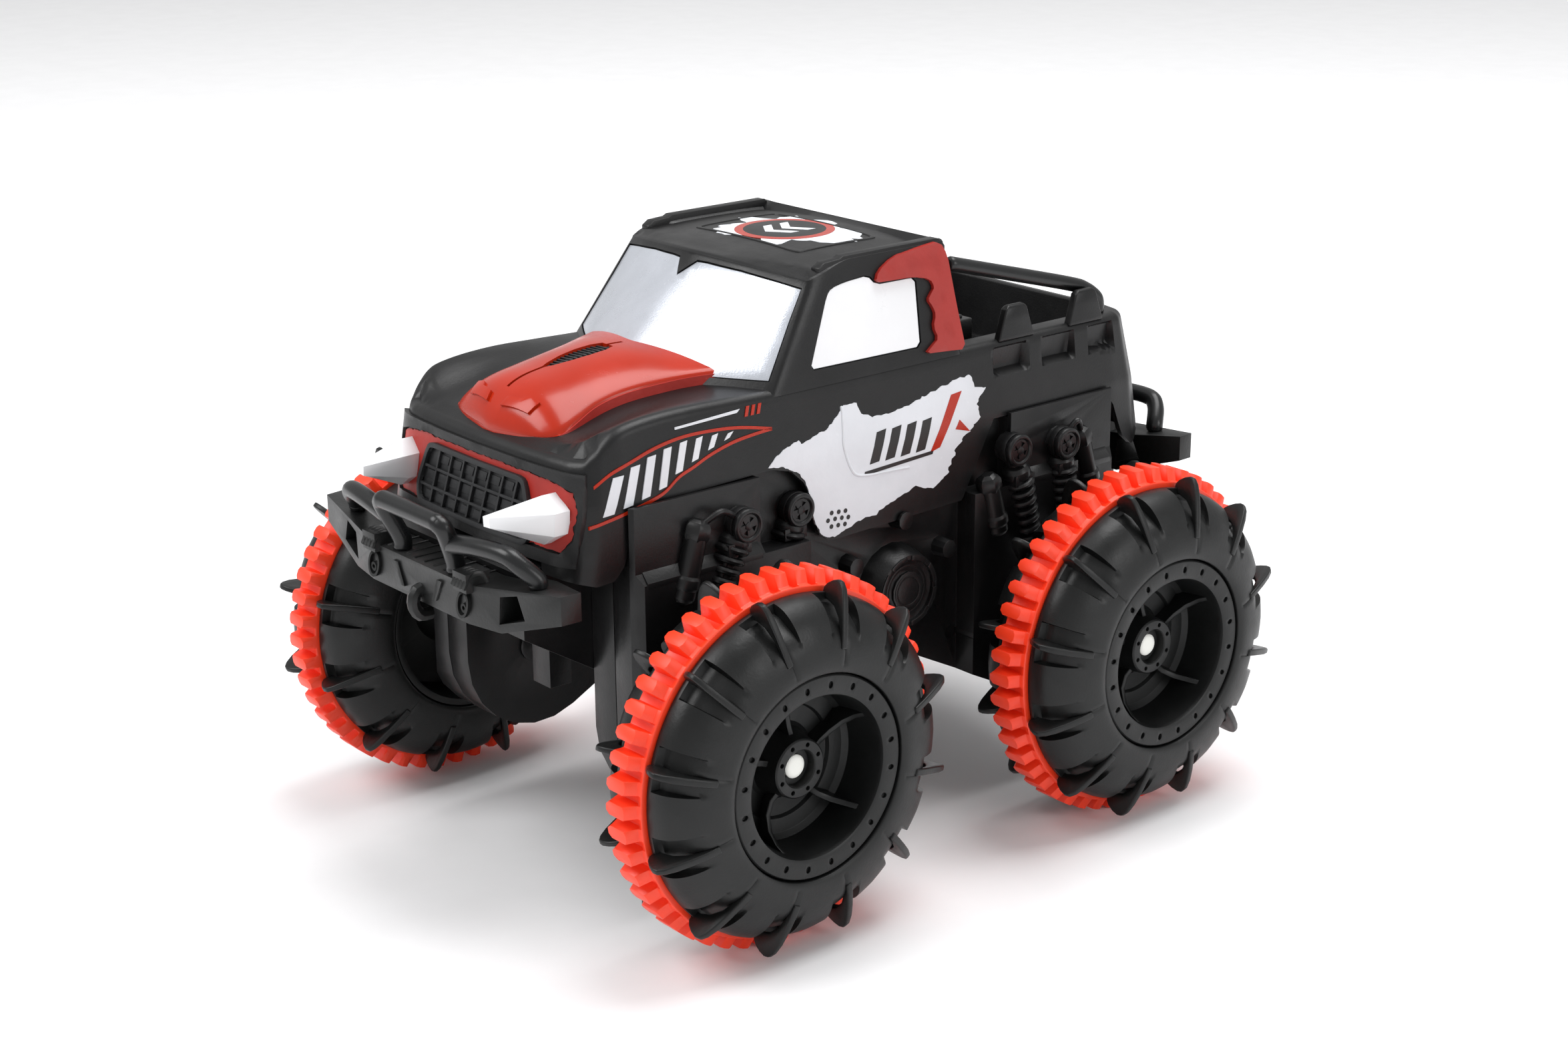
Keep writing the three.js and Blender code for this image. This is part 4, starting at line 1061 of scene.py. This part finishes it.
def on_bulge(x, y):
    return (x, y, bulge_height(x, y))


def bulge_slab(outline, low, high, step=2):
    return slab(on_bulge, outline, low, high, step=step)


def build_bulge():
    rows = []
    across = [-1, -0.985, -0.94] + [i / 16 for i in range(-14, 15)] + [0.94, 0.985, 1]
    for y in along_bulge(BULGE_FRONT, 0.7):
        half, low = bulge_half(y), valley(y)
        row = [Vector((-half - 0.5, y, low - 1.5)), Vector((-half - 0.35, y, low + 0.1))]
        for a in across:
            drop = 0.55 if abs(a) == 1 else 0.12 if abs(a) > 0.98 else 0
            row.append(Vector((a * half, y, bulge_height(a * half, y) - drop)))
        row += [Vector((half + 0.35, y, low + 0.1)), Vector((half + 0.5, y, low - 1.5))]
        rows.append(row)
    obj = raw("hood_bulge", loft(rows, caps=True))
    slit = [(-0.5, -90), (0.5, -90), (0.6, -53), (-0.6, -53)]
    half_vent = [(1.6, -76.5), (3.0, -71.5), (3.7, -66), (3.6, -61), (2.4, -57.8)]
    vent = [(0.0, -79.6)] + half_vent + [(-x, y) for x, y in reversed(half_vent)]
    cut(obj, bulge_slab(slit, -1.0, 2))
    cut(obj, bulge_slab(vent, -1.2, 2))
    dress(obj, RED_PAINT, angle=38)
    bars = []
    for i in range(13):
        y = -77 + i * 1.45
        reach = 3.5 * smooth((y + 80) / 9) * smooth((-56.5 - y) / 3)
        bar = [(-reach, y), (reach, y + 0.5), (reach, y + 0.95), (-reach, y + 0.45)]
        bars.append(bulge_slab(bar, -1.1, -0.55, 3))
    mark = [(3.0, -94.2), (13.0, -92.6), (13.8, -89.4), (10.0, -90.0), (8.8, -91.2), (3.8, -92.2)]
    marks = [bulge_slab([(side * a, b) for a, b in mark], -0.4, 0.75) for side in (1, -1)]
    piece("hood_emblem_blanks", merge(*marks), RED_PAINT, "red_paint", width=0.22, segments=3)
    floors = [bulge_slab(inset(vent, -0.1), -1.5, -1.0), bulge_slab(inset(slit, -0.1), -1.5, -0.8)]
    piece("hood_vent", merge(*floors, *bars), KNOB_BLACK, "shell_plastic", angle=30)
    for side, name in ((1, "left"), (-1, "right")):
        rows = []
        for y in along_bulge(WALL_FRONT, 1.5):
            half = bulge_half(y)
            low, high = valley(y) - 0.2, bulge_height(half, y) - 0.75
            section = ((half + 0.62, low), (half + 0.42, high), (half - 0.8, high), (half - 0.8, low))
            rows.append([Vector((side * x, y, z)) for x, z in section])
        piece(f"{name}_bulge_wall", loft(rows, caps=True), ROUGH_RED, "red_paint", angle=30)


# ---- painted graphics
# Measured from the surface: the lower face of a painted film, its top, and that of a second film.
UNDER_PAINT, PAINT = -0.5, 0.14
OVER_PAINT = PAINT + 0.1
ROOF_CENTRE = (-1, 4.5)  # middle of the roof graphic
DOOR_SPLASH = [
    (-41.1, 64.7), (-38.6, 66.9), (-34.2, 68.9), (-30.3, 70.1), (-29.5, 68.9), (-26.2, 69.5),
    (-19.9, 71.3), (-16.7, 73.7), (-14.2, 76.3), (-9.6, 76.1), (-8.2, 73), (-4.3, 71.4), (1.5, 71.2),
    (9.9, 72.4), (20.9, 74.8), (28.3, 76.2), (32.6, 76.4), (33.6, 73), (37.2, 71.9), (34.4, 67.9),
    (34.7, 63.3), (31, 61.2), (27.4, 58.2), (25, 54.9), (23.1, 50.5), (20.6, 48.8), (17.6, 47.3),
    (13, 48.2), (10.9, 49.1), (5.9, 47.4), (-2.6, 44.9), (-3.6, 44), (-7.5, 44), (-11.9, 43.1),
    (-15.3, 41.9), (-18.5, 40.9), (-21.1, 41.2), (-23.6, 43.4), (-25.3, 46), (-26.2, 50), (-26.6, 53.6),
    (-28.6, 58.4), (-31.6, 61.9), (-37, 64.2),
]
ACCENT = [
    (25.2, 114), (27.5, 109.8), (28.9, 95.6), (30.4, 83.9), (23, 84.5), (15.8, 85), (18.5, 86.8),
    (20.9, 88.3), (19.5, 91.7), (20.9, 94.7), (20.1, 97), (18.6, 99), (20.4, 100.9), (21.5, 102),
    (20.3, 104.4), (14.3, 105.8), (7.3, 106), (0.9, 106.2), (2.2, 109.1), (7.9, 112.1), (18, 113.4),
]
FLASH = [
    (-94.3, 69.1), (-89.6, 72.4), (-83.3, 74.7), (-76, 76.8), (-67, 78), (-56.1, 77.7), (-48, 76.7),
    (-38.8, 74.7), (-44.5, 74.4), (-52, 73.6), (-59.5, 71.8), (-65.2, 69.7), (-69.9, 68.1),
    (-74.7, 65.1), (-80.2, 63.4), (-86.4, 61.9), (-91.6, 60.5), (-96.4, 59.1),
]
DOTS = [
    (-19.6, 47.9), (-17.1, 47.7), (-14.7, 47.5), (-20.9, 46), (-18.4, 46), (-16, 45.8), (-13.7, 45.5),
    (-19.7, 44.1), (-17.3, 44), (-14.9, 43.8),
]


def disc(a, b, radius, sides=14):
    return [(a + radius * cos(t), b + radius * sin(t)) for t in angles(sides)]


def paint(name, surface, shapes, material, slot, high=PAINT, step=2.5):
    """Painted shapes on a surface, on the left side and mirrored on the right."""
    part = merge(*[slab(surface, shape, UNDER_PAINT, high, step=step) for shape in shapes])
    pair(name, part, material, slot, angle=40)


def roof_paint(name, shapes, high, material, slot, holes=()):
    """Painted shapes on the roof."""
    part = merge(*[slab(roof_top, shape, -0.4, high, holes=holes, step=2.5) for shape in shapes])
    piece(name, part, material, slot)


def line_round(height, first, last, half=0.4):
    """A thin closed outline round the curve of a height function, one point a millimetre."""
    there = [(y, height(y) + half) for y in range(first, last + 1)]
    return there + [(y, height(y) - half) for y in range(last, first - 1, -1)]


def pillar_side(y, z):
    return (cab_half(min(z, 112.4)), y, z)


def build_graphics():
    door = []
    for y, z in ragged(DOOR_SPLASH, 0.45):
        streak = noise.noise((y * 0.3, z * 2.2, 4.4))
        door.append((y + 1.5 * smooth((y - 12) / 12) * streak, z))
    paint("door_splash", left_side, [door], WHITE_PAINT, "white_plastic")
    bars = [[(y, 58.6), (y + 3.4, 58.9), (y + 6.2, 67.4), (y + 2.8, 67.0)] for y in (-6, -0.4, 5.2, 10.8)]
    bars.append([(-8, 55.8), (17, 57.0), (17.4, 58.0), (-7.7, 56.9)])
    paint("door_bars", left_side, bars, INK_BLACK, "shell_plastic", OVER_PAINT)
    slash = [[(16.2, 57.6), (19.8, 58.4), (28.6, 72.6), (24.6, 72.2)],
             [(25.6, 62.4), (31.2, 60.8), (27.2, 64.8)]]
    paint("door_slash", left_side, slash, RED_PAINT, "red_paint", OVER_PAINT)
    dots = [disc(y, z, 0.65) for y, z in DOTS]
    paint("door_dots", left_side, dots, INK_BLACK, "shell_plastic", OVER_PAINT)
    upper = through([(y, z, 0) for y, z in FLASH[:8]], 3)
    lower = through([(y, z, 0) for y, z in FLASH[7:]], 3)
    top_line = curve([(p.x, p.y) for p in upper])
    low_line = curve([(p.x, p.y) for p in reversed(lower)])
    halves = [line_round(top_line, -94, -39), line_round(low_line, -96, -39)]
    paint("fender_lines", left_side, halves, RED_PAINT, "red_paint", PAINT + 0.06, 4)
    stripes = []
    for i in range(9):
        y = -92.6 + i * 5.4
        slant = 3.4 * (1 - i / 12)
        foot, head = low_line(y) + 1.5, top_line(y + slant) - 1.3
        far = y + 2.9 - i * 0.16
        if head > foot + 1:
            stripes.append([(y, foot), (far, foot + 0.5), (far + slant, head + 0.3), (y + slant, head)])
    paint("fender_bars", left_side, stripes, WHITE_PAINT, "white_plastic")
    stripe = [(-70, 80.2), (-50, 80.9), (-49, 81.7), (-70, 80.8)]
    paint("fender_stripe", left_side, [stripe], WHITE_PAINT, "white_plastic")
    ticks = [[(y, 79.4), (y + 1, 79.4), (y + 1.8, 82), (y + 0.8, 82)] for y in (-47.6, -45.6, -43.6)]
    paint("fender_ticks", left_side, ticks, RED_PAINT, "red_paint")
    accent = slab(pillar_side, rounded(ACCENT, 1), -1.2, 1.1, step=2.5)
    pair("pillar_accent", accent, ACCENT_RED, "red_paint", width=0.35, segments=3)
    lip = [(-14.8, 76), (-14.9, 70), (-15, 65), (-12.9, 59.3), (-10.5, 56.6), (-5.6, 55.7), (-0.6, 55.5),
           (8.3, 55)]
    bar = tube([(flank(y) - side_inset(z) - 0.05, y, z) for y, z in lip], 0.5, 8, 4)
    pair("door_lip", bar, WHITE_PAINT, "white_plastic")
    inner = disc(*ROOF_CENTRE, 11.6, 40)
    roof_paint("roof_ring", [disc(*ROOF_CENTRE, 14, 48)], 0.16, RED_PAINT, "red_paint", [inner])
    splash = []
    for i, t in enumerate(angles(72)):
        blot = 6.5 * noise.noise((cos(t) * 2.1, sin(t) * 2.1, 0.7))
        reach = 15.5 + blot + 2.4 * noise.noise((i * 0.9, 2.2, 5.1))
        splash.append((-1 + reach * 1.25 * cos(t), 5 + reach * sin(t)))
    roof_paint("roof_splash", [splash], 0.1, WHITE_PAINT, "white_plastic")
    roof_paint("roof_disc", [inner], 0.15, INK_BLACK, "shell_plastic")
    arrows = []
    for y in (-2.5, 3.5):
        arrows.append([(-7, y + 4.2), (-1, y), (5, y + 4.2), (5, y + 7.2), (-1, y + 3), (-7, y + 7.2)])
    roof_paint("roof_arrows", arrows, 0.22, WHITE_PAINT, "white_plastic")


# ---- front panel
GRILLE_PITCH = 5.9


def front_slab(outline, low, high, holes=(), step=2.5):
    return slab(front_face, outline, low, high, holes=holes, step=step)


def build_front():
    half = [(24, 70.5), (34, 69.6), (38.8, 68.1), (40.4, 62.9), (39.8, 55.8), (36.8, 52.2)]
    mirrored = [(-x, z) for x, z in reversed(half)]
    outline = mirrored[3:] + half + mirrored[:3]
    around = [(-41, 72.6), (41, 72.6), (42, 62), (41, 49), (-41, 49), (-42, 62)]
    surround = front_slab(around, -0.5, 0.9, [outline])
    piece("front_surround", surround, SHELL_BLACK, "shell_plastic", width=0.25)
    torn = front_slab(ragged(inset(outline, 0.5), 0.5), -0.4, 0.12)
    piece("front_panel_paint", torn, ROUGH_RED, "red_paint")
    frame_out = rounded([(-22, 68.6), (22, 68.6), (26.6, 57), (25, 51.6), (-25, 51.6), (-26.6, 57)])
    frame_in = inset(frame_out, 1.3)
    ring = front_slab(frame_out, -0.4, 1.5, [frame_in], 2)
    plate = front_slab(frame_in, -0.4, 0.25)
    bars = []
    for i in range(-4, 5):
        foot, head = i * GRILLE_PITCH - 1.6, i * GRILLE_PITCH + 1.6
        bar = [(foot - 0.35, 52.4), (foot + 0.35, 52.4), (head + 0.35, 67.8), (head - 0.35, 67.8)]
        if all(within(a, b, frame_out) for a, b in bar):
            bars.append(front_slab(bar, 0.1, 1.15, step=6))
    rows = [front_slab([(-25, z), (25, z), (25, z + 0.7), (-25, z + 0.7)], 0.1, 1.2, step=6)
            for z in (56.6, 61.7)]
    for z in (53.4, 58.8, 63.9):
        for i in range(-4, 4):
            x = (i + 0.5) * GRILLE_PITCH
            tile = [(x - 2.4, z), (x + 1.9, z), (x + 2.6, z + 2.3), (x - 1.7, z + 2.3)]
            if all(within(a, b, frame_in) for a, b in tile):
                bars.append(front_slab(tile, 0.1, 0.5, step=6))
    grille = merge(ring, plate, *bars, *rows)
    piece("grille_skin", grille, KNOB_BLACK, "grille_plastic", ["grille"], width=0.12)
    for tag in ("left", "right"):
        refined(f"{tag}_headlight", WHITE_PLASTIC, 0.9, 4)


# ---- bumpers, bars
def bumper_face(x, z):
    return (x, -119.75, z)


def bumper_detail():
    """Knots, eyelets and ribs moulded on the front bumper."""
    parts = []
    for side in (1, -1):
        for i in range(4):
            x = i * 1.5
            path = [(side * (19.2 + x), -121.4, 44.4), (side * (19.4 + x), -119.4, 47.3),
                    (side * (19.6 + x), -116.2, 47.2), (side * (19.6 + x), -114.6, 44.4)]
            parts.append(tube(path, 0.85, 8, 4))
        middle, height = side * 21.0, 39.2
        oval = [(middle + 2.7 * cos(t) + 0.9 * sin(t), height + 3.9 * sin(t)) for t in angles(28)]
        hole = [(middle + (a - middle) * 0.72, height + (b - height) * 0.78) for a, b in oval]
        parts.append(slab(bumper_face, oval, -0.8, 0.7, holes=[hole], step=4))
        eye, opening = disc(side * 21.3, 38.3, 1.25, 16), disc(side * 21.3, 38.3, 0.6, 10)
        parts.append(slab(bumper_face, eye, -0.8, 0.5, holes=[opening], step=4))
        mark = [(side * 9.2, 42.6), (side * 11.4, 42.6), (side * 8.2, 36.6), (side * 6.6, 36.6)]
        parts.append(slab(bumper_face, mark, -0.8, 0.4, step=4))
    deck = [block(-18 + i * 4.5, -17.4 + i * 4.5, -118, -106, 44.2, 44.9) for i in range(9)]
    return merge(*parts, *deck)


BAR_RADIUS, BAR_SIDES = 2.5, 16
BED_BAR_RADIUS = 2.1


def bull_bar_part():
    """The centre hoop and the two side hoops of the front bull bar."""
    half = [(12.6, -116.4, 45), (12.7, -116.6, 48), (14.6, -120.2, 56.6), (13.2, -121.2, 58.7),
            (10, -121.3, 59)]
    hoop = half + [(-x, y, z) for x, y, z in reversed(half)]
    side_hoop = [(13.4, -118.6, 53), (24, -118, 54.8), (35.5, -116.6, 55.2), (39.4, -115, 53.2),
                 (42, -112, 49.6), (42.2, -111.6, 47.9)]
    sides = [tube([(side * x, y, z) for x, y, z in side_hoop], BAR_RADIUS, BAR_SIDES) for side in (1, -1)]
    return merge(tube(hoop, BAR_RADIUS, BAR_SIDES, 6), *sides)


def build_ends():
    detail = bumper_detail()
    refined("front_bumper", BUMPER_BLACK, 0.55, 3, extra=detail)
    refined("rear_bumper", BUMPER_BLACK, 0.55, 3, extra=for_rear(detail))
    bars = bull_bar_part()
    piece("front_bull_bar_skin", bars, BAR_BLACK, "bar_plastic", ["front_bull_bar"], angle=60)
    piece("rear_bull_bar_skin", for_rear(bars), BAR_BLACK, "bar_plastic", ["rear_bull_bar"], angle=60)
    path = [(37, 31.6, 106.4), (37.4, 45, 102.8), (38.6, 76, 94.4), (38.8, 83.6, 91.6), (38.9, 87.8, 88.6),
            (38.9, 88.6, 86.4), (38.9, 88.6, 84.4)]
    roll = tube(path, BED_BAR_RADIUS, BAR_SIDES)
    pair("roll_bar_skin", roll, BAR_BLACK, "bar_plastic", "roll_bar", angle=60)


def build_bed_extras():
    posts = []
    for y in (51.4, 79.2):
        for side in (1, -1):
            rows = []
            for share in (0, 0.12, 0.55, 0.9, 1):
                half = lerp(7, 3.7, share) - (0.8 if share == 1 else 0)
                z = lerp(83.2, 93, share)
                slant = lerp(0, -0.3, share)
                thick = 1.25 - (0.5 if share == 1 else 0)
                rows.append([Vector((side * (42.6 + slant + a * thick), y + b * half, z))
                             for a, b in ((-1, -1), (1, -1), (1, 1), (-1, 1))])
            posts.append(loft(rows, caps=True))
    box_part = block(-29, 29, 29, 48.5, 80, 87)
    lid = block(-27, 27, 31.6, 46.6, 86.6, 87.9)
    handles = [block(x - 3, x + 3, 47.8, 49.6, 80.6, 82.4) for x in (-14, 14)]
    piece("bed_posts", merge(*posts), SHELL_BLACK, "shell_plastic", width=0.5, segments=3)
    piece("bed_box", merge(box_part, lid, *handles), SHELL_BLACK, "shell_plastic", width=0.6, segments=3)


# ---- gearbox details
UPPER, MIDDLE = 48.0, 43.0  # x of the two walls
# Each row: x of the wall behind it, then (y, z) of its two ends; a foot comes last.
SHOCKS = [(UPPER, (-53.4, 53.2), (-61, 36)), (MIDDLE, (-31.6, 51.6), (-36, 33)),
          (UPPER, (44.4, 54), (52.5, 26)), (UPPER, (63.7, 52.2), (66, 30))]
CANISTERS = [(UPPER, (-67.5, 54.5), (-72.5, 37)), (UPPER, (71.6, 52.4), (76.5, 36)),
             (UPPER, (35.5, 45.8), (39.5, 31))]
HOSES = [(UPPER, (-66.5, 56), (-56.5, 56)), (UPPER, (70.8, 54.5), (65.5, 55.5))]
BOSS = (5, 21)  # y, z of the round boss
CAP_Y = 64.85  # of the bearing caps, over the axles


def along(wall, out, top, foot):
    """A function giving the point at a share of the way from top to foot, out from the wall."""
    return lambda share: Vector((wall + out, lerp(top[0], foot[0], share), lerp(top[1], foot[1], share)))


def wall_slab(x, outline, low, high, holes=(), step=4):
    """A flat plate at x, facing outward."""
    return slab(lambda y, z: (x, y, z), outline, low, high, holes=holes, step=step)


def shock_detail(wall, top, foot):
    axis = Vector((0, foot[0] - top[0], foot[1] - top[1]))
    length = axis.length
    axis.normalize()
    across = Vector((0, -axis.z, axis.y))
    out = Vector((1, 0, 0))
    at = along(wall, 1.2, top, foot)
    parts = []
    coils = max(4, round(length * 0.68 / 2.7))
    for i in range(coils):
        share = lerp(0.37, 0.97, i / (coils - 1))
        radius = lerp(3.7, 2.7, i / (coils - 1))
        rows = []
        for turned in angles(20):
            radial = across * cos(turned) + out * sin(turned)
            centre = at(share) + radial * radius
            rows.append([centre + (radial * cos(t) + axis * sin(t) * 0.85) * 1.15 for t in angles(8)])
        parts.append(loft(rows, loop=True))
    face = wall + 4.5
    holes = []
    for k in range(4):
        a = radians(90 * k + 45 + 20)
        y, z = top[0] + 1.95 * cos(a), top[1] + 1.95 * sin(a)
        holes.append([(y + 0.95 * cos(a + t), z + 0.95 * sin(a + t)) for t in (pi, pi / 3, -pi / 3)])
    parts.append(wall_slab(face, disc(*top, 3.6, 26), -1.4, 0.5, holes))
    rim_rows = []
    for turned in angles(28):
        radial = Vector((0, cos(turned), sin(turned)))
        centre = Vector((face, *top)) + radial * 3.9
        rim_rows.append([centre + radial * 0.85 * cos(t) + out * 1.1 * sin(t) for t in angles(10)])
    parts.append(loft(rim_rows, loop=True))
    parts.append(tube([at(0.02), at(0.99)], 2.4, 12, 3))
    parts.append(wall_slab(face, disc(*top, 4.7, 26), -3.2, -1.1, step=5))
    parts.append(tube([at(0.24), at(0.3)], 4.2, 16, 2))
    return merge(*parts)


def canister_detail(wall, top, foot):
    at = along(wall, 1.6, top, foot)
    body = tube([at(0.02), at(0.5), at(0.98)], 3.1, 14, 4)
    cap = tube([at(-0.05), at(0.1)], 3.7, 6, 1)
    band = tube([at(0.7), at(0.82)], 3.6, 14, 2)
    return merge(body, cap, band)


def hose(wall, start, end):
    middle = ((start[0] + end[0]) / 2, max(start[1], end[1]) + 2.6)
    return tube([(wall + 2.6, *start), (wall + 4.0, *middle), (wall + 3.0, *end)], 0.9, 8, 6)


def boss_detail():
    """A ring of eight segments with two plain rings inside it."""
    parts = []
    for k in range(8):
        a0, a1 = radians(45 * k + 5), radians(45 * k + 40)
        outline = []
        for radius, first, last in ((10.2, a0, a1), (8.9, a1, a0)):
            turned = [lerp(first, last, t / 5) for t in range(6)]
            outline += [(BOSS[0] + radius * cos(a), BOSS[1] + radius * sin(a)) for a in turned]
        parts.append(wall_slab(50.0, outline, -0.6, 0.65))
    parts.append(wall_slab(49.0, disc(*BOSS, 7.4, 30), -1.2, 0.35, [disc(*BOSS, 6.5, 28)]))
    parts.append(wall_slab(49.9, disc(*BOSS, 4.9, 26), -0.6, 0.4, [disc(*BOSS, 3.9, 24)]))
    return merge(*parts)


def ledge_strips():
    parts = []
    for y0, y1 in ((-84, -46.5), (46.5, 84)):
        parts.append(prism([(48.0, 46.4), (50.3, 43.9), (50.3, 42.4), (48.0, 42.4)], y0, y1, "y"))
    return merge(*parts)


def build_gearboxes():
    details = [shock_detail(*row) for row in SHOCKS] + [canister_detail(*row) for row in CANISTERS]
    left = merge(*details, boss_detail(), ledge_strips(), *[hose(*row) for row in HOSES])
    cap = lathe([(30.02, 0.02), (30.02, 4.6), (29.6, 4.6), (29.2, 4.1), (29.1, 0.02)], 28)
    caps = merge(shift(cap, -CAP_Y), shift(cap, CAP_Y))
    for tag, part, end_caps in (("left", left, caps), ("right", flip(left), flip(caps))):
        refined(f"{tag}_gearbox_outer_half", HOUSING_BLACK, 0.45, extra=part)
        refined(f"{tag}_gearbox_inner_half", HOUSING_BLACK, 0.4)
        piece(f"{tag}_bearing_caps", end_caps, HOUSING_BLACK, "housing_plastic", angle=40)


def build_hull():
    refined("hull_tub", HOUSING_BLACK, 0.6, 3, flats=False)
    refined("battery_hatch", HOUSING_BLACK, 0.35, flats=False)


def paint_inner_nodes():
    """Finishes of the CAD parts that are shown as they are."""
    finishes = {
        "axle": STEEL, "motor_pinion": STEEL, "idler_gear": NYLON, "middle_gear": NYLON,
        "battery_pack": CELL_WRAP, "circuit_board": BOARD_GREEN, "switch_knob": KNOB_BLACK,
    }
    for name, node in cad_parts.items():
        if node.hide_render:
            continue
        chosen = STEEL if name.endswith("_motor") else SHELL_BLACK
        for key, material in finishes.items():
            if key in name:
                chosen = material
        node.data.materials.clear()
        node.data.materials.append(chosen)


# ---- camera, floor, light
CAMERA_PLACE = (543.393, -451.094, 262.077)
CAMERA_RIGHT = Vector((0.64281405, 0.76598358, -0.00769782))
CAMERA_DOWN = Vector((0.23522023, -0.20694068, -0.94965625))
CAMERA_AHEAD = Vector((-0.72901409, 0.6086417, -0.31319921))
LENS, SENSOR_WIDTH = 59.66, 36
CLIP_START, CLIP_END = 0.01, 20  # metres
FLOOR_HALF = 6.0  # metres
FLOOR_CODE = 0xF6F6F7
WORLD_STRENGTH = 0.62
LAMP_AIM = Vector((0, 0, 0.05))
# name, place (metres), size (metres), power (watts)
LAMPS = [
    ("key", (-0.5, -1.0, 1.3), 0.9, 16),
    ("top", (0.1, 0.5, 1.8), 1.2, 26),
    ("side", (1.6, 0.5, 0.7), 0.7, 6),
]


def build_camera():
    data = bpy.data.cameras.new("camera")
    camera = add_object("camera", data)
    data.lens = LENS
    data.sensor_width = SENSOR_WIDTH
    data.sensor_fit = "HORIZONTAL"
    data.clip_start, data.clip_end = CLIP_START, CLIP_END
    basis = Matrix((CAMERA_RIGHT, -CAMERA_DOWN, -CAMERA_AHEAD)).transposed().to_4x4()
    camera.matrix_world = Matrix.Translation(P(*CAMERA_PLACE)) @ basis
    bpy.context.scene.camera = camera


def build_stage():
    build_camera()
    data = bpy.data.meshes.new("floor")
    corners = [(FLOOR_HALF * a, FLOOR_HALF * b, 0.0) for a, b in ((-1, -1), (1, -1), (1, 1), (-1, 1))]
    data.from_pydata(corners, [], [(0, 1, 2, 3)])
    floor = add_object("floor", data)
    data.materials.append(plastic("floor paper", FLOOR_CODE, 0.6, 300, 0.05, 0.01, 0.05, specular=0.2))

    bpy.context.scene.view_settings.view_transform = "Standard"
    world = bpy.data.worlds.new("studio")
    world.use_nodes = True
    background = world.node_tree.nodes["Background"]
    background.inputs["Color"].default_value = (1, 1, 1, 1)
    background.inputs["Strength"].default_value = WORLD_STRENGTH
    bpy.context.scene.world = world
    for name, place, size, power in LAMPS:
        lamp_data = bpy.data.lights.new(name, "AREA")
        lamp_data.shape = "SQUARE"
        lamp_data.size = size
        lamp_data.energy = power
        lamp = add_object(name, lamp_data)
        lamp.location = place
        lamp.rotation_mode = "QUATERNION"
        lamp.rotation_quaternion = (Vector(place) - LAMP_AIM).to_track_quat("Z", "Y")


build_stage()
build_wheels()
build_belt()
build_cab()
build_bulge()
build_graphics()
build_front()
build_ends()
build_bed_extras()
build_gearboxes()
build_hull()
paint_inner_nodes()
